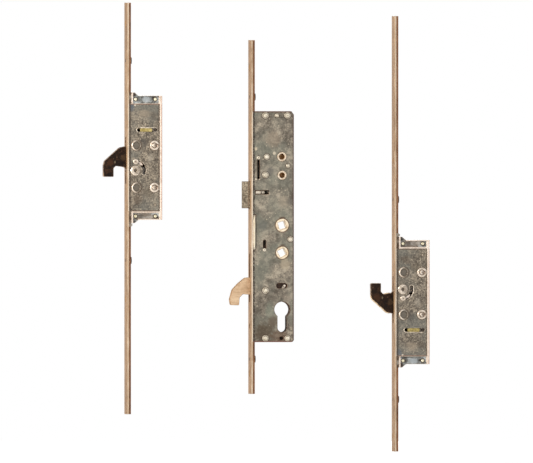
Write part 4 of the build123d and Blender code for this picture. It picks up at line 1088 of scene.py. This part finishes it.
@dataclass
class EdgeShadeBeads:
    """Dark flat beads along the cover's front edge behind the strip, made by Geometry Nodes, that stand in
    for the broken shade in the gap there.
    """

    x: float = -31.8
    y: float = -7.5
    low: float = -33.0
    high: float = 210.0
    notch: Point = (62.0, 107.0)
    pitch: float = 7.3
    length: float = 1.5
    width: float = 0.42
    jitter: float = 2.4
    least: float = 0.45
    most: float = 1.25
    flat: float = 0.3
    seed: int = 11

    def tree(self) -> Tree:
        """Build the tree that sets a flat bead at uneven steps along the edge.

        Returns:
            The node group.
        """
        group, given = started("stake_marks_tree", {
            "Length": "Float", "Width": "Float", "Jitter": "Float", "Seed": "Int", "Finish": "Material"})
        least = add(group, "ShaderNodeMath", (given["Jitter"], -1.0), operation="MULTIPLY").outputs[0]
        shift = add(group, "FunctionNodeRandomValue", {2: least, 3: given["Jitter"], "Seed": given["Seed"]},
                    data_type="FLOAT")
        moved = add(group, "GeometryNodeSetPosition", {
            "Geometry": given["Geometry"],
            "Offset": add(group, "ShaderNodeCombineXYZ", {"Z": shift.outputs[1]}).outputs[0]})
        bead = add(group, "GeometryNodeMeshIcoSphere", {"Radius": 1.0, "Subdivisions": 3})
        share = add(group, "FunctionNodeRandomValue", {
            2: self.least, 3: self.most, "Seed": given["Seed"]}, data_type="FLOAT")
        thick, tall = (add(group, "ShaderNodeMath", pair, operation="MULTIPLY").outputs[0]
                       for pair in ((given["Width"], self.flat), (share.outputs[1], given["Length"])))
        scale = add(group, "ShaderNodeCombineXYZ", (given["Width"], thick, tall))
        return ended(group, given["Finish"], {
            "Points": moved.outputs["Geometry"], "Instance": bead.outputs["Mesh"], "Scale": scale.outputs[0]})

    def build(self) -> None:
        """Set the dark beads, as painted shade, along the front edge of the cover, clear of the guide block's
        notch.
        """
        spots = []
        z = self.low
        while z < self.high:
            if not self.notch[0] < z < self.notch[1]:
                spots.append((self.x * MM, self.y * MM, z * MM))
            z += self.pitch
        marks = bpy.data.meshes.new("stake_mark_places")
        marks.from_pydata(spots, [], [])
        piece = grown("cover_stake_marks", marks, self.tree(), {
            "Length": self.length / 2 * MM, "Width": self.width * MM, "Jitter": self.jitter / 2 * MM,
            "Seed": self.seed, "Finish": PAINT.get(Paint.INNER)})
        settle(piece, "lock_frame")


@dataclass
class CentreGearbox:
    """Riveted case of the lock with its latch, hook, hubs and the slots that show its pins."""

    cover_y: float = -7.5
    ring: float = 0.75
    bush_ring: float = 0.6
    pin_proud: float = 0.6
    hubs: tuple[Place, ...] = ((0.0, 92.0, 7.3), (0.0, 62.0, 6.9))
    keyway: Place = (0.0, 0.0, 8.5)
    rib_tail: tuple[float, float, float] = (-23.4, -19.0, 128.0)
    crown: tuple[float, float, float] = (-31.0, 66.2, 102.4)
    guide_head: Place = (-26.1, 165.7, 2.0)
    lock_head: Place = (-19.4, 65.2, 1.9)
    inner: tuple[str, ...] = (
        "gearbox_drive_slide", "gearbox_lower_rack", "idler_gear", "idler_pin", "reversing_pinion",
        "reversing_pinion_pin", "centre_hook_pin", "latch_spring_stop", "deadlock_slide", "centre_rail_studs",
    )

    def build(self) -> None:
        """Build the gearbox from its case outwards."""
        self.case()
        self.movers()
        self.rivets()
        self.pins()
        # Dark beads behind the strip stand in for the shade in the gap there.
        EdgeShadeBeads().build()
        for node in self.inner:
            coat(node, Paint.INNER)
        coat("latch_spring", Paint.SPRING)

    def case(self) -> None:
        """Dress the plates, the rim, the bushes and the cream guide block."""
        # Dark crisp rings round the rivets, the hook's pivot, the bushes, the hubs and the keyway: painted
        # shade where each meets the cover.
        ringed = (
            (head_places("gearbox_rivets") + head_places("centre_hook_pivot"), self.ring, "#44352A", 0.75),
            (head_places("handle_screw_bushes"), self.bush_ring, "#54402F", 0.7),
            ((*self.hubs, self.keyway), self.ring, "#5F4732", 0.75),
        )
        rings = tuple(Patch(x, z, r + past, code, strength, crisp=True)
                      for places, past, code, strength in ringed for x, z, r in places)
        near = replace(Paint.PLATE, label="zinc_plated_cover", patches=rings + Paint.PLATE.patches)
        dress("gearbox_cover", near, Paint.PLATE_EDGE, bevel_mm=0.35)
        dress("gearbox_case", Paint.PLATE, Paint.PLATE_EDGE, bevel_mm=0.35)
        dress("gearbox_rim", Paint.PLATE_EDGE, Paint.PLATE_EDGE, bevel_mm=0.15)
        dress("handle_screw_bushes", Paint.BUSH, Paint.BUSH, bevel_mm=0.3)
        dress("front_guide_block", Paint.CREAM, Paint.CREAM, bevel_mm=0.4)
        x, low, high = self.crown
        crown = Lip("guide_block_crown", tuple(straight((x, low), (x, high), 12)), y=self.cover_y - 0.9,
                    width=1.5, proud=1.4, finish=Paint.CREAM, sides=16, taper=2)
        settle(crown.build(), "lock_frame")

    def movers(self) -> None:
        """Dress the latch with its light rib, the hook, the hubs and the key follower."""
        rib = Zone(Paint.FOLLOWER, x=(-32.0, 0.0), y=(-8.0, -6.3))
        dress("latch_bolt", Paint.LATCH, Paint.LATCH_EDGE, bevel_mm=0.35, zones=(rib,))
        side = Zone(Paint.HOOK_TAN_EDGE, facing_x=FACING_FRONT)
        dress("centre_hook", Paint.HOOK_TAN, Paint.HOOK_TAN_EDGE, bevel_mm=0.5,
              zones=(side,))
        for hub in ("gearbox_upper_hub", "gearbox_lower_hub"):
            dress(hub, Paint.HUB, Paint.HUB_EDGE, bevel_mm=0.3, clear=False)
        dress("key_follower", Paint.FOLLOWER, Paint.INNER, bevel_mm=0.15)
        start, end, z = self.rib_tail
        tail = Lip("latch_rib_tail", tuple(straight((start, z), (end, z), 6)), y=self.cover_y + 2.2,
                   width=1.8, proud=0.6, finish=Paint.FOLLOWER, taper=1)
        settle(tail.build(), "latch")

    def rivets(self) -> None:
        """Set the riveted heads of the case and of the hook's pivot."""
        for node, name, tilt in (("gearbox_rivets", "gearbox_rivet_heads", 0.012),
                                 ("centre_hook_pivot", "centre_hook_pivot_head", 0.0)):
            low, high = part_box(node)
            profile = DOME.with_shank(0.56, (high.y - low.y) / MM, far_head=0.4)
            piece = LathedHeads(name, profile, Paint.RIVET, tilt=tilt).build(head_places(node), low.y / MM)
            settle(piece, "lock_frame", [node])

    def pins(self) -> None:
        """Dress the guide, deadlock and follower pins, and set the proud ends of the first two."""
        for node in ("key_follower_pin", "deadlock_pin", "drive_guide_pin"):
            dress(node, Paint.CUP, Paint.INNER, bevel_mm=0.3)
        for name, place, body, share in (("guide_pin_end", self.guide_head, "centre_drive", 0.5),
                                         ("deadlock_pin_end", self.lock_head, "deadlock", 0.62)):
            profile = PIN_END.with_shank(share, length=1.1)
            head = LathedHeads(name, profile, Paint.RIVET, sides=28, tilt=0.0)
            settle(head.build([place], self.cover_y - self.pin_proud), body)


@dataclass
class HookUnit:
    """Hook box on its strip: cast tray, pressed cover, hook, shoe and rivets, in millimetres."""

    name: str
    flipped: bool
    cover_y: float = -7.5
    cover: tuple[float, float, float, float] = (3.3, 36.5, -44.3, 73.0)
    housing_back: float = 39.5
    window: tuple[float, float, float] = (11.4, 34.0, 44.4)
    window_half: float = 2.1
    pivot_x: float = 9.8
    guide_orbit: float = 9.8
    guide_start: float = 88.0
    guide_end: float = -15.0
    guide_half: float = 1.95
    guide_head_r: float = 3.0
    guide_proud: float = 1.05
    flank: Point = (78.0, 34.0)
    hub_clear: float = 7.0
    boss_x: float = 10.8
    boss_z: tuple[float, float] = (27.5, -18.5)
    boss_r: float = 5.3
    ring_proud: float = 1.06
    wider: float = 0.45
    cup_proud: float = 0.25
    shelf_y: tuple[float, float] = (-6.5, 0.0)
    foot_tips: tuple[Point, ...] = ((4.0, -59.5), (4.0, 80.0))
    foot_line: tuple[Point, Point] = ((3.4, -59.6), (6.8, -59.1))
    back_line: tuple[Point, ...] = ((-25.1, 6.6), (-24.6, 8.9), (-23.3, 11.1), (-15.0, 18.7), (-9.4, 23.9),
                                    (-7.3, 25.3), (-4.2, 26.0))
    throat_line: tuple[Point, ...] = ((-10.6, 4.9), (-8.6, 4.7), (-6.4, 4.3), (-4.0, 4.0))
    bracket_x: Point = (10.3, 32.0)
    bracket_z: Point = (77.8, -49.8)
    bracket_ring: float = 2.6
    front: float = field(init=False)
    pivot_z: float = field(init=False)

    def __post_init__(self) -> None:
        """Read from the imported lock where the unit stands."""
        low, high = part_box(self.name + "_hook_pivot")
        self.front = (low.x + high.x) / 2 / MM - self.pivot_x
        self.pivot_z = (low.z + high.z) / 2 / MM

    def at(self, x: float, z: float) -> Point:
        """Place a point of the upright unit, turned over for the lower one."""
        return self.front + x, self.pivot_z + (-z if self.flipped else z)

    def patch(self, x: float, z: float, radius: float, colour: str, strength: float, **more) -> Patch:
        """Place a patch of the upright unit, turned over for the lower one.

        Args:
            x: Distance behind the strip's front.
            z: Height over the hook's pivot, upright.
            radius: Its radius.
            colour: Its colour.
            strength: Its share.
            **more: Its other values by name.

        Returns:
            The patch.
        """
        return Patch(*self.at(x, z), radius, colour, strength, **more)

    def lip(self, part: str, path: Sequence[Point], body: str, slot: Slot, **shape) -> None:
        """Skin a bead along a path of the upright unit.

        Args:
            part: Name of the bead without the unit's.
            path: Its points, upright.
            body: Body that carries it.
            slot: A finish of the record; not used.
            **shape: The bead's other sizes and its finish.
        """
        placed = tuple(self.at(*spot) for spot in path)
        settle(Lip(f"{self.name}_{part}", placed, **shape).build(), body)

    def far_flank_shaded(self, part: str, places: Sequence[Place], shift: float, radius: float, code: str,
               strength: float) -> Finish:
        """Lay brown painted shade over the far flank of each bright head, the side that the key light misses.

        Args:
            part: Name of the heads.
            places: Where they are.
            shift: How far the painted shade lies behind the head's middle.
            radius: Its radius.
            code: Its colour.
            strength: Its share.

        Returns:
            The finish.
        """
        # Each crisp brown patch is painted shade on the far flank of one head.
        film = tuple(Patch(x + shift, z, radius, code, strength, crisp=True) for x, z, r in places)
        return replace(Paint.CUP, label=f"{self.name}_{part}_film", patches=film)

    def build(self) -> None:
        """Build the unit from its tray outwards."""
        self.box()
        self.movers()
        self.rivets()
        self.lips()
        for part in ("drive_slide", "rail_studs"):
            coat(f"{self.name}_{part}", Paint.INNER)

    def box(self) -> None:
        """Dress the tray with its blue grey shelves, the cover and the near feet."""
        back = self.front + self.housing_back
        # Dark crisp rings round the bracket rivets: painted shade where they meet the shelf.
        rings = [self.patch(x, z, self.bracket_ring, "#3E2D20", 0.85, crisp=True)
                 for x in self.bracket_x for z in self.bracket_z]
        # In the horns and corners of the recess, the darkest patches on the shelf are painted shade.
        shelf = replace(Paint.SHELF, label=self.name + "_bracket_shelf", patches=(
            self.patch(20.0, -50.0, 14.0, "#857566", 0.65, tall=0.5),
            self.patch(22.0, 78.0, 6.0, "#A9B0B3", 0.8, tall=0.6),
            self.patch(13.5, 77.8, 2.6, "#3A352F", 0.7, tall=1.5),
            self.patch(16.0, -49.8, 3.6, "#4C4640", 0.6),
            self.patch(27.0, -50.5, 4.0, "#A9A196", 0.7, tall=0.5),
            self.patch(8.0, 83.0, 3.6, "#3B2A1E", 0.9),
            self.patch(8.0, -55.5, 3.2, "#3F3831", 0.8), *rings))
        # The pink line along the rounded rear edge is painted sheen.
        tray = replace(Paint.ZINC, label=self.name + "_cast_tray", seams=(
            Seam("X", back - 0.75, 0.5, "#DDA78C", 0.75),))
        zone = Zone(shelf, y=self.shelf_y, facing_y=FACING_NEAR)
        dress(self.name + "_housing", tray, Paint.ZINC, bevel_mm=0.3, zones=(zone,))
        dress(self.name + "_cover", self.cover_finish(), Paint.BRIGHT_EDGE, bevel_mm=0.18)
        tips = tuple(self.patch(x, z, 3.0, "#B5AA9B", 0.9) for x, z in self.foot_tips)
        foot = replace(Paint.FOOT, label=self.name + "_cast_feet", patches=tips)
        dress(self.name + "_feet", foot, foot, bevel_mm=0.25)
        self.lip("foot_tip", straight(*self.foot_line, 5), "lock_frame", Slot.HOUSING, y=self.cover_y + 1.4,
                 width=1.5, proud=1.0, finish=Paint.FOLLOWER, taper=2)

    def cover_finish(self) -> Finish:
        """Lay this unit's own stains, rings and edge lines over the cover's sheet.

        Returns:
            The finish.
        """
        x0, x1, z0, z1 = self.cover
        # Dark crisp rings round the cup rivets, the bosses and the pivot: painted shade where each meets the
        # cover.
        rings = [Patch(x, z, r + 1.05, "#4E3B2B", 0.85, crisp=True)
                 for x, z, r in head_places(self.name + "_cover_rivets")]
        bosses = ((self.boss_r + 1.0, "#5A4636", 0.75), (3.5, "#6A645A", 0.85))
        rings += [self.patch(self.boss_x, z, radius, code, strength, crisp=True)
                  for radius, code, strength in bosses for z in self.boss_z]
        rings.append(self.patch(self.pivot_x, 0.0, 6.0, "#5D4C3B", 0.65, crisp=True))
        stains = [
            self.patch(20.0, 62.0, 9.0, "#9C8E7B", 0.5, tall=0.6),
            self.patch(30.0, 60.0, 5.0, "#554B40", 0.5),
            self.patch(18.5, 30.0, 4.0, "#4F4B45", 0.6, tall=2.0),
            self.patch(26.0, 14.0, 4.0, "#A0988A", 0.5, tall=1.5),
            self.patch(24.0, -24.0, 7.0, "#605647", 0.5),
            self.patch(13.0, -32.0, 6.0, "#59493A", 0.5),
            self.patch(8.0, 12.0, 3.0, "#A89C88", 0.6),
            self.patch(5.5, 70.0, 4.0, "#5D6670", 0.6, tall=1.6),
            self.patch(9.5, 71.6, 1.4, "#D8CDBD", 0.9, tall=0.8),
            self.patch(31.5, -37.5, 2.2, "#4A3A2C", 0.7, height=-0.1),
            self.patch(31.5, -37.5, 1.0, "#C9BBA6", 0.9),
        ]
        seams = (
            Seam("X", self.front + x0 + 0.8, 0.6, "#5C4B3B", 0.75),
            Seam("X", self.front + x1 - 0.5, 0.7, "#52402F", 0.8),
            Seam("Z", self.at(0.0, z1 - 0.5)[1], 0.6, "#8A6350", 0.7),
            Seam("Z", self.at(0.0, z0 + 0.5)[1], 0.7, "#5A4433", 0.75),
        )
        return replace(Paint.COVER, label=self.name + "_tumbled_cover", patches=tuple(stains + rings),
                       seams=seams)

    def movers(self) -> None:
        """Dress the hook with its pins, its light flank inside the slot, and the shoe."""
        side = Zone(Paint.HOOK_EDGE, facing_x=FACING_FRONT)
        beyond = self.pivot_z + (-self.hub_clear if self.flipped else self.hub_clear)
        # The lower hook's back faces take the pale painted highlight.
        back = Zone(Paint.HOOK_BRIGHT if self.flipped else Paint.HOOK_EDGE, facing_x=FACING_FRONT,
                    z=(EVERYWHERE[0], beyond) if self.flipped else (beyond, EVERYWHERE[1]))
        forged = replace(Paint.HOOK_DARK, label=self.name + "_forged_hook", patches=(
            self.patch(-12.2, 9.3, 1.0, "#98886F", 0.45, tall=2.0),
            self.patch(-17.5, 9.0, 5.0, "#4A2F1D", 0.6),
            self.patch(-3.0, 14.0, 4.0, "#57432F", 0.5)))
        dress(self.name + "_hook", forged, Paint.HOOK_EDGE, bevel_mm=0.45, zones=(side, back))
        dress(self.name + "_hook_pins", Paint.CUP, Paint.INNER, bevel_mm=0.2)
        dress(self.name + "_shoe", Paint.BRASS, Paint.BRASS, bevel_mm=0.12)
        body = "hook_" + self.name
        spot = arc(self.pivot_x, 0.0, self.guide_orbit, self.guide_start, self.guide_start, 1)[0]
        end = LathedHeads(self.name + "_guide_pin_end", PIN_END.with_shank(0.58, length=1.5), Paint.CUP,
                          sides=32, tilt=0.0)
        place = (*self.at(*spot), self.guide_head_r)
        settle(end.build([place], self.cover_y - self.guide_proud), body)
        path = arc(self.pivot_x, 0.0, self.guide_orbit, *self.flank, 12)
        self.lip("hook_flank", path, body, Slot.HOOK_DARK, y=self.cover_y + 2.15, width=1.7, proud=0.4,
                 finish=Paint.ZINC)
        # On the lower hook, the back and throat lines are beads in the pale painted highlight.
        if self.flipped:
            for part, path in (("hook_back_line", self.back_line), ("hook_throat_line", self.throat_line)):
                self.lip(part, path, body, Slot.HOOK_DARK, y=-2.2, width=0.75, proud=0.9,
                         finish=Paint.HOOK_BRIGHT, taper=1)

    def rivets(self) -> None:
        """Set the cup rivets, the bracket rivets, the boss rings and the pivot's head, with brown painted
        shade on the far flanks of the cups, rings and pivot.
        """
        cups = self.name + "_cover_rivets"
        buttons = self.name + "_bracket_rivets"
        pivot = self.name + "_hook_pivot"
        low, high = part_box(cups)
        profile = CUPPED.with_shank(0.44, (high.y - low.y) / MM + self.cup_proud, far_head=0.4)
        places = [(x, z, r + self.wider) for x, z, r in head_places(cups)]
        finish = self.far_flank_shaded("cup_rivet", places, 2.2, 2.3, "#5A4636", 0.75)
        piece = LathedHeads(self.name + "_cup_rivets", profile, finish, seed=7)
        settle(piece.build(places, low.y / MM - self.cup_proud), "lock_frame", [cups])
        piece = LathedHeads(self.name + "_bracket_buttons", BUTTON, Paint.YELLOW_RIVET, sides=28, seed=9)
        low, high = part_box(buttons)
        settle(piece.build(head_places(buttons), low.y / MM), "lock_frame", [buttons])
        places = [(*self.at(self.boss_x, z), self.boss_r + self.wider) for z in self.boss_z]
        finish = self.far_flank_shaded("boss_ring", places, 1.7, self.boss_r - 0.05, "#665C4E", 0.85)
        piece = LathedHeads(self.name + "_boss_rings", RING, finish, tilt=0.0)
        settle(piece.build(places, self.cover_y - self.ring_proud), "lock_frame")
        low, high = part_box(pivot)
        profile = HOLED.with_shank(0.59, (high.y - low.y) / MM)
        finish = self.far_flank_shaded("pivot", head_places(pivot), 2.6, 3.9, "#85796A", 0.75)
        piece = LathedHeads(self.name + "_pivot_head", profile, finish, tilt=0.0)
        settle(piece.build(head_places(pivot), low.y / MM), "lock_frame", [pivot])

    def lips(self) -> None:
        """Press the pale lips along the outer side of the window and of the curved slot, on the sides that
        take painted highlight.
        """
        x0, x1, z = self.window
        front, back = x0 + self.window_half, x1 - self.window_half
        out = self.window_half + 0.3
        path = arc(front, z, out, 255.0, 100.0, 10) + straight((front, z + out), (back, z + out), 12)
        path += arc(back, z, out, 80.0, 40.0, 4)
        self.lip("window_lip", path, "lock_frame", Slot.HOUSING, y=self.cover_y, width=0.55, proud=0.4,
                 finish=Paint.BRIGHT_EDGE)
        out = self.guide_half + 0.3
        path = arc(self.pivot_x, 0.0, self.guide_orbit + out, self.guide_start - 14.0, self.guide_end, 14)
        end = arc(self.pivot_x, 0.0, self.guide_orbit, self.guide_end, self.guide_end, 1)[0]
        path += arc(*end, out, self.guide_end - 12.0, self.guide_end - 190.0, 10)
        self.lip("curved_slot_lip", path, "lock_frame", Slot.HOUSING, y=self.cover_y, width=0.4, proud=0.35,
                 finish=Paint.BRIGHT_EDGE)


@dataclass
class Studio:
    """White sweep of light, pale floor and a parallel camera at the photograph's angle."""

    width: float = 0.5815
    azimuth: float = -8.0
    elevation: float = 0.5
    aim: Place = (-0.0173, -0.0075, 0.0852)
    floor_z: float = -0.1552
    floor_size: float = 2.6
    ambient: float = 0.34
    floor_lift: float = 0.6
    camera_away: float = 2.0

    def build(self) -> None:
        """Set up the world, floor, lamps and camera."""
        self.world()
        self.floor()
        self.lamp("key_softbox", spot=(-1.25, -1.15, 0.35), size=0.45, watts=22.5, code="#FFF6EC")
        self.lamp("fill_softbox", spot=(1.2, -1.3, 0.3), size=0.9, watts=3.2, code="#F4F6FF")
        self.lamp("back_softbox", spot=(0.3, 1.5, 0.9), size=0.9, watts=9.0, code="#FFFFFF")
        self.camera()
        bpy.context.scene.view_settings.view_transform = "Standard"

    def world(self) -> None:
        """White to the camera, in metal and through glass, and a lower even light elsewhere."""
        world = bpy.data.worlds.new("studio_white")
        bpy.context.scene.world = world
        world.use_nodes = True
        tree = world.node_tree
        tree.nodes.clear()
        path = add(tree, "ShaderNodeLightPath").outputs
        seen = path["Is Camera Ray"]
        for ray in ("Is Glossy Ray", "Is Transmission Ray"):
            seen = add(tree, "ShaderNodeMath", (seen, path[ray]), operation="MAXIMUM").outputs[0]
        power = add(tree, "ShaderNodeMapRange", (seen, 0.0, 1.0, self.ambient, 1.0)).outputs[0]
        glow = add(tree, "ShaderNodeBackground", {"Color": (1.0, 1.0, 1.0, 1.0), "Strength": power})
        add(tree, "ShaderNodeOutputWorld", {"Surface": glow.outputs[0]})

    def floor(self) -> None:
        """Pale floor under the longest strip, white to the camera apart from the lock's shadow."""
        half = self.floor_size / 2
        mesh = bpy.data.meshes.new("studio_floor")
        corners = [(x * half, y * half, self.floor_z) for x, y in ((-1, -1), (1, -1), (1, 1), (-1, 1))]
        mesh.from_pydata(corners, [], [(0, 1, 2, 3)])
        material = bpy.data.materials.new("pale_studio_floor")
        material.use_nodes = True
        tree = material.node_tree
        tree.nodes.clear()
        place = add(tree, "ShaderNodeTexCoord").outputs["Object"]
        mottle = add(tree, "ShaderNodeTexNoise", {
            "Vector": place, "Scale": 3.0, "Detail": 2.0}).outputs["Fac"]
        tint = add(tree, "ShaderNodeMix", {0: mottle, 6: linear("#F2F1EE"), 7: linear("#F8F8F7")},
                   data_type="RGBA").outputs[2]
        matt = add(tree, "ShaderNodeBsdfDiffuse", {"Color": tint})
        path = add(tree, "ShaderNodeLightPath").outputs
        seen = add(tree, "ShaderNodeMath", (path["Is Camera Ray"], path["Is Glossy Ray"]),
                   operation="MAXIMUM").outputs[0]
        lift = add(tree, "ShaderNodeMath", (seen, self.floor_lift), operation="MULTIPLY").outputs[0]
        glow = add(tree, "ShaderNodeEmission", {"Color": (1.0, 1.0, 1.0, 1.0), "Strength": lift})
        both = add(tree, "ShaderNodeAddShader", {0: matt.outputs[0], 1: glow.outputs[0]})
        add(tree, "ShaderNodeOutputMaterial", {"Surface": both.outputs[0]})
        mesh.materials.append(material)
        link("studio_floor", mesh)

    def lamp(self, name: str, spot: Place, size: float, watts: float, code: str) -> None:
        """Hang a square soft box that faces the lock.

        Args:
            name: Its name.
            spot: Its place from the middle of the lock, in metres.
            size: Its side in metres.
            watts: Its power.
            code: Colour of its light.
        """
        data = bpy.data.lights.new(name, "AREA")
        data.size = size
        data.energy = watts
        data.color = linear(code)[:3]
        lamp = bpy.data.objects.new(name, data)
        bpy.context.scene.collection.objects.link(lamp)
        middle = Vector(self.aim)
        lamp.location = middle + Vector(spot)
        lamp.rotation_euler = (middle - lamp.location).to_track_quat("-Z", "Y").to_euler()

    def camera(self) -> None:
        """Set the parallel camera square on the photograph's frame."""
        data = bpy.data.cameras.new("photo_camera")
        data.type = "ORTHO"
        data.ortho_scale = self.width
        data.clip_start = 0.01
        data.clip_end = 20.0
        camera = bpy.data.objects.new("photo_camera", data)
        bpy.context.scene.collection.objects.link(camera)
        turn, rise = math.radians(self.azimuth), math.radians(self.elevation)
        back = Vector((math.sin(turn) * math.cos(rise), -math.cos(turn) * math.cos(rise), math.sin(rise)))
        camera.location = Vector(self.aim) + back * self.camera_away
        camera.rotation_euler = (-back).to_track_quat("-Z", "Y").to_euler()
        bpy.context.scene.camera = camera


def main() -> None:
    """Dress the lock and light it."""
    logging.basicConfig(level=logging.INFO, format="%(name)s: %(message)s")
    Strip("centre_faceplate", ("centre_upper_rail", "centre_lower_rail"), (-35.0, 216.0)).build()
    upper = HookUnit("upper", False)
    lower = HookUnit("lower", True)
    for unit in (upper, lower):
        ends = sorted((unit.at(0.0, unit.cover[2])[1], unit.at(0.0, unit.cover[3])[1]))
        Strip(unit.name + "_faceplate", (unit.name + "_rail",), (ends[0], ends[1])).build()
    CentreGearbox().build()
    upper.build()
    lower.build()
    Studio().build()


if __name__ == "__main__":
    main()
